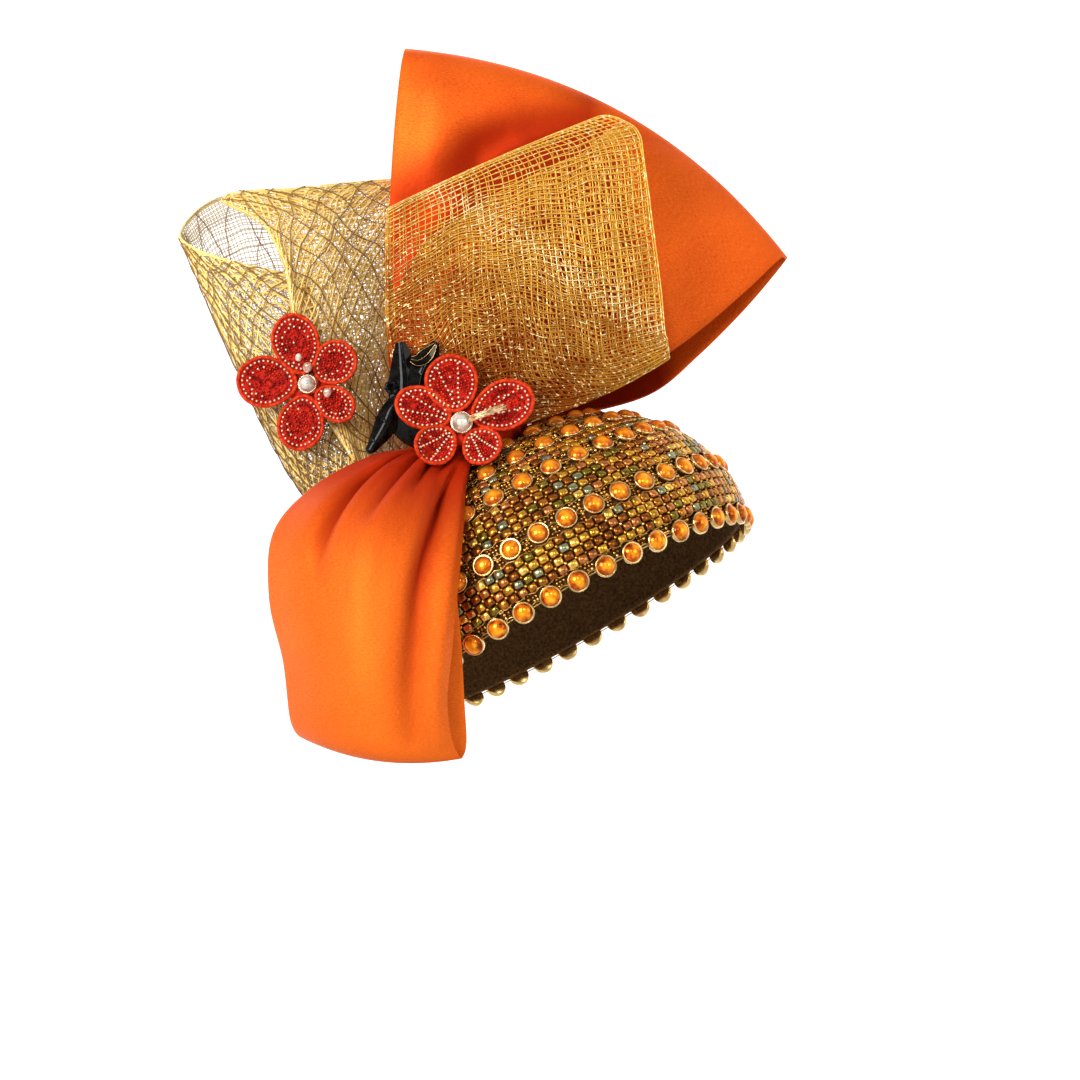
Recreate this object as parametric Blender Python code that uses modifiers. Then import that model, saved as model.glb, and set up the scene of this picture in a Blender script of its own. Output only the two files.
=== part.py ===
"""Fascinator: a beaded cap with rows of set stones, trimmed with satin loops, net and flowers.

The cap is a shallow dome that leans over one side of the head. On its top a knot gathers four
loops: a tall satin fan, a satin loop that hangs beside the rim, a net roll in front of the fan
and a net cone beside it. Two fabric flowers and a black leaf spray hide the knot.

Frame: metres, +Z up as worn, -Y towards the side that the trimming faces, and the origin in the
middle of the cap's rim. The wearer looks 40 degrees to the right of -Y, as seen from the front.
"""
from collections import namedtuple
from math import acos, cos, pi, radians, sin, sqrt, tau

import bmesh
import bpy
from mathutils import Euler, Matrix, Vector
from mathutils.bvhtree import BVHTree

GAP = 0.0003               # between pieces that touch
MERGE = 0.00001            # merge distance of modifiers

# Cap: an ellipse turned about the cap's own axis
CAP_LEAN_LEFT = radians(29.8)
CAP_LEAN_BACK = radians(9.2)
CAP_RADIUS = 0.0887        # outside, at its widest ring
CAP_WIDEST_HEIGHT = 0.0154  # widest ring above the rim
CAP_RISE = 0.0679          # from the widest ring to the top
CAP_WALL = 0.0025
CAP_STEPS = 36
CAP_PROFILE_STEPS = 7

# Stones in metal settings, chained into rows round the cap
StoneRow = namedtuple("StoneRow", "node height count first_angle")
STONE_ROWS = [
    StoneRow("stone_row_rim", 0.0005, 42, radians(-27.9)),
    StoneRow("stone_row_low", 0.0251, 42, radians(-22.3)),
]
UPPER_ROWS = [
    StoneRow("stone_row_high", 0.0484, 36, radians(-12.6)),
    StoneRow("stone_row_crown", 0.0608, 30, radians(-25.0)),
]
STONE_SIDES = 8
SETTING_RADIUS = 0.00475
SETTING_HEIGHT = 0.0018
SETTING_STAND_OFF = GAP + SETTING_RADIUS ** 2 / (2 * CAP_RISE)  # a flat back on the round cap
STONE_HEIGHT = 0.0043      # from the setting's back to the stone's table
TABLE_RADIUS = 0.0025
UPPER_ROW_RADIUS = 0.0021  # the tube that holds an upper row's place
TUBE_SIDES = 5

# Cloth walls
SATIN_WALL = 0.0014
NET_WALL = 0.0011

# A fold row runs from the loop's left edge to its right edge. x is across, z up and y back.
# arch is how far the row's middle rises over the straight line between its ends.
FoldRow = namedtuple("FoldRow", "left_x left_z right_x right_z arch left_y middle_y right_y")

# Satin fan: up its front, over the fold and down its back
FAN_ROWS = [FoldRow(*row) for row in (
    # left_x  left_z  right_x right_z  arch   left_y middle_y right_y
    (-0.064, 0.066, -0.022, 0.0865, 0.001, -0.003, -0.007, -0.003),
    (-0.072, 0.085, -0.011, 0.092, 0.001, -0.002, -0.006, -0.002),
    (-0.082, 0.117, 0.021, 0.104, 0.005, -0.002, -0.012, 0.000),
    (-0.082, 0.162, 0.052, 0.124, 0.008, 0.002, -0.013, 0.004),
    (-0.079, 0.211, 0.076, 0.144, 0.013, 0.008, -0.006, 0.010),
    (-0.076, 0.244, 0.091, 0.158, 0.019, 0.014, 0.006, 0.016),
    (-0.074, 0.252, 0.095, 0.160, 0.021, 0.020, 0.016, 0.021),
    (-0.076, 0.248, 0.094, 0.157, 0.020, 0.026, 0.027, 0.027),
    (-0.079, 0.213, 0.078, 0.138, 0.018, 0.030, 0.038, 0.031),
    (-0.083, 0.164, 0.057, 0.117, 0.013, 0.032, 0.044, 0.034),
    (-0.082, 0.119, 0.036, 0.100, 0.007, 0.028, 0.040, 0.032),
    (-0.072, 0.085, 0.006, 0.091, 0.001, 0.018, 0.028, 0.024),
    (-0.064, 0.066, -0.020, 0.087, 0.001, 0.014, 0.021, 0.018),
)]
FAN_ACROSS = 12
FAN_ALONG = 20
FAN_PLEATS = 3
FAN_PLEAT_DEPTH = 0.0022

# Satin side loop: down its front, round the fold below the rim and up its back
SIDE_ROWS = [FoldRow(*row) for row in (
    # left_x  left_z  right_x right_z  arch   left_y middle_y right_y
    (-0.060, 0.074, -0.040, 0.074, 0.001, -0.037, -0.039, -0.038),
    (-0.067, 0.073, -0.043, 0.071, 0.001, -0.044, -0.048, -0.047),
    (-0.086, 0.065, -0.046, 0.057, 0.004, -0.054, -0.066, -0.064),
    (-0.111, 0.052, -0.047, 0.036, 0.004, -0.062, -0.090, -0.084),
    (-0.127, 0.034, -0.049, 0.012, 0.003, -0.066, -0.102, -0.094),
    (-0.128, 0.009, -0.051, -0.011, 0.001, -0.068, -0.106, -0.098),
    (-0.122, -0.017, -0.053, -0.032, -0.002, -0.070, -0.107, -0.099),
    (-0.119, -0.038, -0.051, -0.048, -0.007, -0.071, -0.104, -0.098),
    (-0.116, -0.045, -0.047, -0.056, -0.007, -0.066, -0.098, -0.094),
    (-0.117, -0.041, -0.045, -0.050, -0.008, -0.059, -0.091, -0.089),
    (-0.121, -0.019, -0.046, -0.030, -0.006, -0.055, -0.086, -0.088),
    (-0.123, 0.004, -0.047, -0.010, -0.001, -0.052, -0.083, -0.088),
    (-0.116, 0.028, -0.049, 0.013, 0.001, -0.052, -0.078, -0.086),
    (-0.097, 0.047, -0.050, 0.036, 0.001, -0.050, -0.066, -0.079),
    (-0.075, 0.058, -0.052, 0.054, 0.002, -0.045, -0.053, -0.062),
    (-0.062, 0.061, -0.047, 0.068, 0.001, -0.036, -0.038, -0.040),
)]
SIDE_ACROSS = 12
SIDE_ALONG = 18
SIDE_PLEATS = 3
SIDE_PLEAT_DEPTH = 0.0028

# Net roll: up its back, over the open top and down its front to a cut edge
ROLL_ROWS = [FoldRow(*row) for row in (
    # left_x  left_z  right_x right_z  arch   left_y middle_y right_y
    (-0.062, 0.074, -0.030, 0.084, 0.001, -0.014, -0.016, -0.014),
    (-0.074, 0.098, 0.003, 0.106, 0.002, -0.012, -0.017, -0.012),
    (-0.078, 0.126, 0.020, 0.143, 0.002, -0.015, -0.021, -0.014),
    (-0.080, 0.152, 0.016, 0.180, 0.002, -0.019, -0.021, -0.017),
    (-0.080, 0.171, 0.009, 0.206, 0.001, -0.022, -0.020, -0.020),
    (-0.080, 0.177, 0.011, 0.217, 0.001, -0.028, -0.026, -0.026),
    (-0.080, 0.174, 0.021, 0.215, 0.003, -0.034, -0.033, -0.031),
    (-0.080, 0.165, 0.029, 0.206, 0.003, -0.038, -0.039, -0.036),
    (-0.080, 0.143, 0.033, 0.174, 0.003, -0.041, -0.046, -0.039),
    (-0.079, 0.122, 0.037, 0.143, -0.001, -0.043, -0.050, -0.040),
    (-0.074, 0.100, 0.039, 0.122, -0.005, -0.045, -0.050, -0.040),
    (-0.061, 0.084, 0.041, 0.112, -0.009, -0.045, -0.047, -0.038),
    (-0.056, 0.077, -0.032, 0.081, 0.000, -0.041, -0.041, -0.040),
)]
ROLL_GAPS_ACROSS = 5
ROLL_GAPS_ALONG = 9

# Net cone: each row runs from the knot over a shoulder to the mouth. The rows go once round and
# a little further, so that the loose edge of the front panel overlaps the left panel.
ConeRow = namedtuple("ConeRow", "shoulder_x shoulder_z shoulder_y mouth_x mouth_z mouth_y")
CONE_ROWS = [ConeRow(*row) for row in (
    # shoulder_x shoulder_z shoulder_y mouth_x mouth_z mouth_y
    (-0.100, 0.066, -0.009, -0.125, 0.154, -0.001),
    (-0.095, 0.068, -0.006, -0.155, 0.184, 0.006),
    (-0.087, 0.073, 0.006, -0.121, 0.191, 0.022),
    (-0.080, 0.078, 0.030, -0.082, 0.197, 0.044),
    (-0.071, 0.080, 0.040, -0.067, 0.199, 0.056),
    (-0.075, 0.078, 0.048, -0.078, 0.198, 0.064),
    (-0.094, 0.070, 0.040, -0.121, 0.193, 0.052),
    (-0.110, 0.062, 0.026, -0.155, 0.184, 0.034),
    (-0.119, 0.056, 0.014, -0.174, 0.172, 0.018),
    (-0.115, 0.056, 0.004, -0.167, 0.163, 0.008),
    (-0.104, 0.060, -0.001, -0.146, 0.156, 0.006),
    (-0.092, 0.068, 0.002, -0.118, 0.150, 0.011),
)]
CONE_GATHER = Vector((-0.0711, 0.012, 0.0606))  # middle of the cone's end at the knot
CONE_GATHER_SCALE = 0.36   # the end's size against the shoulder's
CONE_GAPS_ROUND = 12
CONE_GAPS_ALONG = 4
STRAND_SHARE = 0.30        # strand width against the spacing of the gaps

# Knot: a flattened ball on the cap's top, where the loops end
KNOT_CENTRE = Vector((-0.046, -0.012, 0.073))
KNOT_RADII = (0.030, 0.0365, 0.016)
KNOT_SLOPE = radians(33)
KNOT_SEGMENTS = 16
KNOT_RINGS = 10
KNOT_MARGIN = 0.0004       # keeps the loops the gap away from the knot's flat faces

# Flowers: petals round a hub with a pearl
Petal = namedtuple("Petal", "angle reach half_width lift")
Flower = namedtuple("Flower", "name place facing hub_radius hub_height pearl petals")
FLOWERS = [
    Flower("flower_upper", (-0.1155, 0.1020), (-0.10, -1.0, 0.05), 0.0050, 0.0034, 0.0037, (
        # angle, reach, half_width, lift
        Petal(radians(106), 0.0310, 0.0097, 0.0030),
        Petal(radians(37), 0.0248, 0.0088, 0.0034),
        Petal(radians(-35), 0.0243, 0.0068, 0.0030),
        Petal(radians(-99), 0.0290, 0.0096, 0.0026),
        Petal(radians(177), 0.0305, 0.0105, 0.0032),
    )),
    Flower("flower_lower", (-0.0480, 0.0830), (0.05, -1.0, 0.10), 0.0052, 0.0080, 0.0042, (
        # angle, reach, half_width, lift
        Petal(radians(104), 0.0285, 0.0105, 0.0050),
        Petal(radians(160), 0.0290, 0.0082, 0.0034),
        Petal(radians(-138), 0.0235, 0.0080, 0.0090),
        Petal(radians(-50), 0.0205, 0.0080, 0.0050),
        Petal(radians(22), 0.0320, 0.0098, 0.0044),
    )),
]
HUB_SEGMENTS = 10
PEARL_SEGMENTS = 12
PEARL_RINGS = 6
PETAL_WALL = 0.0012
PETAL_NECK = 0.45          # a petal's width at the hub against its widest
PETAL_SEGMENTS = 10
SEAT_MARGIN = 0.0005       # from a hub's back to the cloth
SEAT_PROBES = 12            # places round a hub where the cloth behind it is felt
PROBE_START = -0.3

# Black leaf spray behind the lower flower
LeafRow = namedtuple("LeafRow", "x z half_width")
LEAF_DEPTH = -0.0497       # y of the leaves' middle
LEAF_WALL = 0.0020
LEAVES = [
    [LeafRow(*row) for row in (
        # x, z, half_width
        (-0.060, 0.082, 0.0030),
        (-0.067, 0.094, 0.0062),
        (-0.066, 0.106, 0.0068),
        (-0.063, 0.119, 0.0012),
    )],
    [LeafRow(*row) for row in (
        # x, z, half_width
        (-0.062, 0.086, 0.0030),
        (-0.072, 0.095, 0.0034),
        (-0.079, 0.084, 0.0028),
        (-0.086, 0.0725, 0.0010),
    )],
]


def clear_scene():
    for obj in list(bpy.data.objects):
        bpy.data.objects.remove(obj)


def collection(name):
    group = bpy.data.collections.new(name)
    bpy.context.scene.collection.children.link(group)
    return group


def finish(name, colour, roughness, metallic=0.0):
    """A plain Principled material."""
    material = bpy.data.materials.new(name)
    material.use_nodes = True
    shader = material.node_tree.nodes["Principled BSDF"]
    shader.inputs["Base Color"].default_value = (*colour, 1.0)
    shader.inputs["Roughness"].default_value = roughness
    shader.inputs["Metallic"].default_value = metallic
    return material


def add_object(name, bm, group, material=None, parent=None):
    """An object from a bmesh, shaded smooth but for its sharp edges."""
    mesh = bpy.data.meshes.new(name)
    bm.to_mesh(mesh)
    bm.free()
    mesh.shade_smooth()
    mesh.set_sharp_from_angle(angle=radians(40))
    obj = bpy.data.objects.new(name, mesh)
    group.objects.link(obj)
    if material:
        obj.data.materials.append(material)
    obj.parent = parent
    return obj


def give_wall(obj, thickness, offset=0.0):
    solidify = obj.modifiers.new("wall", "SOLIDIFY")
    solidify.thickness = thickness
    solidify.offset = offset


def smooth_between(before, start, end, after, share):
    """Catmull-Rom: a point a share of the way from start to end."""
    square, cube = share * share, share ** 3
    return 0.5 * (
        2 * start
        + (end - before) * share
        + (2 * before - 5 * start + 4 * end - after) * square
        + (3 * start - before - 3 * end + after) * cube
    )


def along(points, place):
    """The point at a place, from 0 to 1, on a smooth curve through the points."""
    spot = place * (len(points) - 1)
    index = min(int(spot), len(points) - 2)
    before = points[max(index - 1, 0)]
    after = points[min(index + 2, len(points) - 1)]
    return smooth_between(before, points[index], points[index + 1], after, spot - index)


def fold_point(row, share):
    """A point on a fold row, a share of the way from its left edge to its right."""
    left = Vector((row.left_x, 0, row.left_z))
    right = Vector((row.right_x, 0, row.right_z))
    chord = right - left
    rise = Vector((-chord.z, 0, chord.x)).normalized() * row.arch
    point = left + chord * share + rise * 4 * share * (1 - share)
    point.y = (
        row.left_y * (1 - share) * (1 - 2 * share)
        + row.middle_y * 4 * share * (1 - share)
        + row.right_y * share * (2 * share - 1)
    )
    return point


def pleat_offset(share, place, pleats, depth):
    """How far back a pleat pushes the cloth: full at the knot, nothing at the fold."""
    towards_knot = abs(1 - 2 * place)
    fade = towards_knot * (1 - towards_knot ** 8)
    side = 1 if place < 0.5 else -1
    return Vector((0, side * depth * fade * cos(tau * pleats * share), 0))


def fold_surface(rows, shares, places, pleats=0, depth=0.0):
    """Points of a loop, one list for each place along it."""
    columns = [[fold_point(row, share) for row in rows] for share in shares]
    return [
        [
            along(column, place) + pleat_offset(share, place, pleats, depth)
            for column, share in zip(columns, shares)
        ]
        for place in places
    ]


def cone_surface(rows, shares, places):
    """Points of the net cone, one list for each place from the knot to the mouth."""
    shoulders = [Vector((row.shoulder_x, row.shoulder_y, row.shoulder_z)) for row in rows]
    mouths = [Vector((row.mouth_x, row.mouth_y, row.mouth_z)) for row in rows]
    middle = sum(shoulders, Vector()) / len(shoulders)
    ends = [CONE_GATHER + (point - middle) * CONE_GATHER_SCALE for point in shoulders]
    rings = [[along(ring, share) for share in shares] for ring in (ends, shoulders, mouths)]
    return [
        [along([ring[k] for ring in rings], place) for k in range(len(shares))]
        for place in places
    ]


def even_steps(count):
    return [k / count for k in range(count + 1)]


def net_steps(gaps):
    """Grid lines of a net: a strand, then a gap, and a strand at the end."""
    spacing = 1 / (gaps + STRAND_SHARE)
    lines = []
    for k in range(gaps + 1):
        lines += [k * spacing, (k + STRAND_SHARE) * spacing]
    return lines


def grid_mesh(points, pierced=False):
    """A sheet through a grid of points. A pierced one loses the cells between its strands."""
    bm = bmesh.new()
    verts = [[bm.verts.new(point) for point in line] for line in points]
    for i in range(len(verts) - 1):
        for j in range(len(verts[0]) - 1):
            if pierced and i % 2 and j % 2:
                continue
            bm.faces.new((verts[i][j], verts[i][j + 1], verts[i + 1][j + 1], verts[i + 1][j]))
    return bm


def hide_cutter(cutter):
    cutter.hide_render = True
    cutter.display_type = "WIRE"


def cut(obj, cutter):
    boolean = obj.modifiers.new("cut " + cutter.name, "BOOLEAN")
    boolean.operation = "DIFFERENCE"
    boolean.object = cutter


def join(obj, other):
    boolean = obj.modifiers.new("join " + other.name, "BOOLEAN")
    boolean.operation = "UNION"
    boolean.object = other


def cap_profile(radius, rise, lowest):
    """The dome's outline from its top down to a height, in the cap's own frame."""
    end = acos((lowest - CAP_WIDEST_HEIGHT) / rise)
    return [
        (radius * sin(end * step), CAP_WIDEST_HEIGHT + rise * cos(end * step))
        for step in even_steps(CAP_PROFILE_STEPS)
    ]


def turned_dome(name, profile, group, parent, material=None):
    """A dome turned about the cap's axis from its profile."""
    bm = bmesh.new()
    verts = [bm.verts.new((radius, 0, height)) for radius, height in profile]
    for upper, lower in zip(verts, verts[1:]):
        bm.edges.new((upper, lower))
    dome = add_object(name, bm, group, material, parent)
    screw = dome.modifiers.new("turn", "SCREW")
    screw.steps = CAP_STEPS
    screw.render_steps = CAP_STEPS
    screw.use_merge_vertices = True
    screw.merge_threshold = MERGE
    return dome


def cap_seat(height, angle, offset=0.0):
    """A frame on the cap: Z out of the cloth, X round the cap, at a height above the rim."""
    level = (height - CAP_WIDEST_HEIGHT) / CAP_RISE
    radius = CAP_RADIUS * sqrt(1 - level * level)
    out = Vector((radius / CAP_RADIUS ** 2, 0, level / CAP_RISE)).normalized()
    round_cap = Vector((0, 1, 0))
    up = out.cross(round_cap)
    point = Vector((radius, 0, height)) + out * offset
    local = Matrix((round_cap, up, out)).transposed().to_4x4()
    local.translation = point
    return Matrix.Rotation(angle - pi / 2, 4, "Z") @ local


def add_stone(bm, seat):
    """A faceted stone in its setting. Gives the two setting walls that face its neighbours."""
    rings = []
    for radius, height in (
        (SETTING_RADIUS, 0),
        (SETTING_RADIUS, SETTING_HEIGHT),
        (TABLE_RADIUS, STONE_HEIGHT),
    ):
        angles = [tau * (k + 0.5) / STONE_SIDES for k in range(STONE_SIDES)]
        points = [Vector((radius * cos(a), radius * sin(a), height)) for a in angles]
        rings.append([bm.verts.new(seat @ point) for point in points])
    bm.faces.new(reversed(rings[0]))
    bm.faces.new(rings[2])
    walls = []
    for lower, upper in zip(rings, rings[1:]):
        for k in range(STONE_SIDES):
            following = (k + 1) % STONE_SIDES
            walls.append(bm.faces.new((lower[k], lower[following], upper[following], upper[k])))
    return walls[STONE_SIDES - 1], walls[STONE_SIDES // 2 - 1]


def stone_row(row, group, parent, material):
    """A closed chain of stones round the cap, each setting joined to the next."""
    bm = bmesh.new()
    walls = []
    for k in range(row.count):
        angle = row.first_angle + tau * k / row.count
        walls.append(add_stone(bm, cap_seat(row.height, angle, SETTING_STAND_OFF)))
    for k in range(row.count):
        ahead = walls[k][0]
        behind = walls[(k + 1) % row.count][1]
        edges = list(ahead.edges) + list(behind.edges)
        bmesh.ops.delete(bm, geom=[ahead, behind], context="FACES_ONLY")
        bmesh.ops.bridge_loops(bm, edges=edges)
    bmesh.ops.recalc_face_normals(bm, faces=bm.faces)
    return add_object(row.node, bm, group, material, parent)


def ring_tube(row, group, parent, material):
    """The tube that holds an upper row's place round the cap."""
    bm = bmesh.new()
    steps = CAP_STEPS
    sides = TUBE_SIDES
    rings = []
    for k in range(steps):
        seat = cap_seat(row.height, tau * k / steps, UPPER_ROW_RADIUS + GAP)
        corners = [tau * side / sides - pi / 2 for side in range(sides)]
        rings.append([
            bm.verts.new(seat @ Vector((0, UPPER_ROW_RADIUS * cos(a), UPPER_ROW_RADIUS * sin(a))))
            for a in corners
        ])
    for k in range(steps):
        this, following = rings[k], rings[(k + 1) % steps]
        for side in range(sides):
            beside = (side + 1) % sides
            bm.faces.new((this[side], this[beside], following[beside], following[side]))
    bmesh.ops.recalc_face_normals(bm, faces=bm.faces)
    return add_object(row.node, bm, group, material, parent)


def make_knot(name, margin, group, material=None):
    """The knot's flattened ball, larger by a margin all round."""
    bm = bmesh.new()
    bmesh.ops.create_uvsphere(bm, u_segments=KNOT_SEGMENTS, v_segments=KNOT_RINGS, radius=1)
    radii = Vector([radius + margin for radius in KNOT_RADII])
    place = Matrix.LocRotScale(KNOT_CENTRE, Euler((0, -KNOT_SLOPE, 0)), radii)
    bmesh.ops.transform(bm, matrix=place, verts=bm.verts)
    return add_object(name, bm, group, material)


def seat_on(points, place, facing, radius, wall):
    """A frame just in front of a sheet: Z along facing, Y up, clear of the cloth all round."""
    bm = grid_mesh(points)
    tree = BVHTree.FromBMesh(bm)
    bm.free()
    out = Vector(facing).normalized()
    side = Vector((0, 0, 1)).cross(out).normalized()
    up = out.cross(side)
    centre = Vector((place[0], 0, place[1]))
    backs = []
    for k in range(SEAT_PROBES):
        angle = tau * k / SEAT_PROBES
        offset = radius * (cos(angle) * side + sin(angle) * up)
        start = centre + offset
        start.y = PROBE_START
        met = tree.ray_cast(start, Vector((0, 1, 0)))[0]
        if met:
            backs.append(met.y - offset.y)
    centre.y = min(backs) - (wall / 2 + SEAT_MARGIN) / abs(out.y)
    seat = Matrix((side, up, out)).transposed().to_4x4()
    seat.translation = centre
    return seat


def add_petal(name, petal, flower, seat, group, material):
    """A cupped petal, narrow where it meets the hub and round at its end."""
    inner = flower.hub_radius + GAP
    middle = (inner + petal.reach) / 2
    half_length = (petal.reach - inner) / 2
    level = flower.hub_height - PETAL_WALL
    bm = bmesh.new()
    centre = bm.verts.new((middle, 0, level))
    rings = []
    for share in (0.55, 1.0):
        ring = []
        for k in range(PETAL_SEGMENTS):
            angle = tau * k / PETAL_SEGMENTS
            towards_hub = (1 - cos(angle)) / 2
            width = petal.half_width * (1 - (1 - PETAL_NECK) * towards_hub ** 2)
            x = middle + share * half_length * cos(angle)
            y = share * width * sin(angle)
            rise = petal.lift * share ** 2 * (1 - towards_hub)
            ring.append(bm.verts.new((x, y, level + rise)))
        rings.append(ring)
    for k in range(PETAL_SEGMENTS):
        following = (k + 1) % PETAL_SEGMENTS
        bm.faces.new((centre, rings[0][k], rings[0][following]))
        bm.faces.new((rings[0][k], rings[1][k], rings[1][following], rings[0][following]))
    turn = Matrix.Rotation(petal.angle, 4, "Z")
    bmesh.ops.transform(bm, matrix=seat @ turn, verts=bm.verts)
    obj = add_object(name, bm, group, material)
    give_wall(obj, PETAL_WALL, 1.0)
    return obj


def make_flower(flower, points, wall, group, cloth, metal, glass):
    """A hub seated on the cloth behind it, its petals and its pearl."""
    seat = seat_on(points, flower.place, flower.facing, flower.hub_radius, wall)
    bm = bmesh.new()
    bmesh.ops.create_cone(
        bm, cap_ends=True, segments=HUB_SEGMENTS,
        radius1=flower.hub_radius, radius2=flower.hub_radius,
        depth=flower.hub_height, matrix=seat @ Matrix.Translation((0, 0, flower.hub_height / 2)),
    )
    add_object(flower.name + "_hub", bm, group, metal)
    bm = bmesh.new()
    pearl_place = Matrix.Translation((0, 0, flower.hub_height + flower.pearl + GAP))
    bmesh.ops.create_uvsphere(
        bm, u_segments=PEARL_SEGMENTS, v_segments=PEARL_RINGS, radius=flower.pearl,
        matrix=seat @ pearl_place)
    add_object(flower.name + "_pearl", bm, group, glass)
    for number, petal in enumerate(flower.petals, 1):
        add_petal("%s_petal_%d" % (flower.name, number), petal, flower, seat, group, cloth)


def leaf_points(rows):
    """A leaf's sheet: three points across, hollow along its middle."""
    places = [Vector((row.x, LEAF_DEPTH, row.z)) for row in rows]
    lines = []
    for place in even_steps(2 * len(rows)):
        point = along(places, place)
        tangent = along(places, min(place + 0.01, 1)) - along(places, max(place - 0.01, 0))
        side = Vector((tangent.z, 0, -tangent.x)).normalized()
        width = along([Vector((row.half_width, 0, 0)) for row in rows], place).x
        hollow = Vector((0, width * 0.15, 0))
        lines.append([point - side * width, point + hollow, point + side * width])
    return lines


def make_leaf_spray(group, cutters, material):
    upper, lower = [
        add_object(name, grid_mesh(leaf_points(rows)), owner, material)
        for name, rows, owner in zip(("leaf_spray", "leaf_lower"), LEAVES, (group, cutters))
    ]
    give_wall(upper, LEAF_WALL)
    give_wall(lower, LEAF_WALL)
    hide_cutter(lower)
    join(upper, lower)


def main():
    clear_scene()
    group = collection("fascinator")
    cutters = collection("cutters")

    beadwork = finish("beadwork", (0.35, 0.22, 0.08), 0.45, 0.5)
    amber = finish("amber stones", (0.85, 0.38, 0.05), 0.15, 0.3)
    orange_satin = finish("orange satin", (0.90, 0.22, 0.03), 0.40)
    gold_net = finish("gold net", (0.78, 0.55, 0.22), 0.40, 0.4)
    pale_net = finish("pale gold net", (0.80, 0.68, 0.40), 0.40, 0.4)
    red_cloth = finish("red cloth", (0.70, 0.05, 0.02), 0.60)
    silver = finish("silver", (0.75, 0.72, 0.65), 0.30, 0.9)
    pearl = finish("pearl", (0.85, 0.78, 0.68), 0.15)
    black = finish("black lacquer", (0.02, 0.02, 0.02), 0.20)

    cap_axis = bpy.data.objects.new("cap_axis", None)
    cap_axis.rotation_euler = (-CAP_LEAN_BACK, -CAP_LEAN_LEFT, 0)
    group.objects.link(cap_axis)
    cap = turned_dome("cap_shell", cap_profile(CAP_RADIUS, CAP_RISE, 0), group, cap_axis, beadwork)
    give_wall(cap, CAP_WALL, -1.0)
    for row in STONE_ROWS:
        stone_row(row, group, cap_axis, amber)
    for row in UPPER_ROWS:
        ring_tube(row, group, cap_axis, amber)

    fan_points = fold_surface(
        FAN_ROWS, even_steps(FAN_ACROSS), even_steps(FAN_ALONG), FAN_PLEATS, FAN_PLEAT_DEPTH)
    fan = add_object("satin_fan", grid_mesh(fan_points), group, orange_satin)
    give_wall(fan, SATIN_WALL)
    side_points = fold_surface(
        SIDE_ROWS, even_steps(SIDE_ACROSS), even_steps(SIDE_ALONG), SIDE_PLEATS, SIDE_PLEAT_DEPTH)
    side = add_object("satin_side_loop", grid_mesh(side_points), group, orange_satin)
    give_wall(side, SATIN_WALL)

    roll_points = fold_surface(ROLL_ROWS, net_steps(ROLL_GAPS_ACROSS), net_steps(ROLL_GAPS_ALONG))
    roll = add_object("net_roll", grid_mesh(roll_points, pierced=True), group, gold_net)
    give_wall(roll, NET_WALL)
    cone_points = cone_surface(CONE_ROWS, net_steps(CONE_GAPS_ROUND), net_steps(CONE_GAPS_ALONG))
    cone = add_object("net_cone", grid_mesh(cone_points, pierced=True), group, pale_net)
    give_wall(cone, NET_WALL)

    knot = make_knot("knot", 0, group, orange_satin)
    dome = turned_dome(
        "cap clearance", cap_profile(CAP_RADIUS + GAP, CAP_RISE + GAP, 0), cutters, cap_axis)
    give_wall(dome, CAP_RADIUS / 3, -1.0)
    hide_cutter(dome)
    cut(knot, dome)
    knot_clearance = make_knot("knot clearance", KNOT_MARGIN, cutters)
    hide_cutter(knot_clearance)
    for loop in (fan, side, roll):
        cut(loop, knot_clearance)

    upper_flower, lower_flower = FLOWERS
    make_flower(upper_flower, cone_points, NET_WALL, group, red_cloth, silver, pearl)
    make_flower(lower_flower, roll_points, NET_WALL, group, red_cloth, silver, pearl)
    make_leaf_spray(group, cutters, black)


main()
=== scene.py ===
# %% [markdown]
# # A beaded half cap with satin loops, net and flowers
# This lesson dresses a hat whose solids are already made. The cap is a shallow dome
# that leans over one side of the head. A knot on its top gathers a tall satin fan, a satin loop
# that hangs beside the rim, a roll of gold net and a cone of pale net. Two beaded flowers and a
# black leaf spray hide the knot. Here each piece gets its fine shape and its finish.

from collections import namedtuple
from math import acos, cos, pi, radians, sin, sqrt, tau
from random import Random

import bpy
import numpy as np
from mathutils import Euler, Matrix, Vector
from mathutils.bvhtree import BVHTree


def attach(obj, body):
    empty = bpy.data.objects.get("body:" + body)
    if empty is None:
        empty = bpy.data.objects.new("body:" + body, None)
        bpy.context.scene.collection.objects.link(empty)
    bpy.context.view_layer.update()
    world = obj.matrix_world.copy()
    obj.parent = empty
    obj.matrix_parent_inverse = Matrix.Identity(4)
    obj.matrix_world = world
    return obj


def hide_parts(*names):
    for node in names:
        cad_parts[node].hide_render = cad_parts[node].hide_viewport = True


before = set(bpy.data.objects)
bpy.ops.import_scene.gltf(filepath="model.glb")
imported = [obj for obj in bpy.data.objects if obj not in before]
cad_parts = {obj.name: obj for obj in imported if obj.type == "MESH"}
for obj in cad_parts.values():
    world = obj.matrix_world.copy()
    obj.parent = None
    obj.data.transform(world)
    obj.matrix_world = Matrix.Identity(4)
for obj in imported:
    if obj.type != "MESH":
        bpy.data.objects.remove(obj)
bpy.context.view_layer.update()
bpy.ops.object.select_all(action="DESELECT")

# %% [markdown]
# ## The camera
# A portrait lens looks level at the hat from 1.6 m, so its frame is 475 mm wide there. The lens
# follows from that width. A longer lens from further away would show the same width with flatter
# depth, and a wide lens from close by would swell the nearest loop.

# %% Place the camera
PHOTO_WIDTH = 1080          # pixels
PIXEL = 0.00044             # metres that a pixel covers at the hat
CAMERA_DISTANCE = 1.6
SENSOR_WIDTH = 36.0         # mm
CAMERA_SIDE = -0.0143
CAMERA_HEIGHT = 0.034

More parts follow.
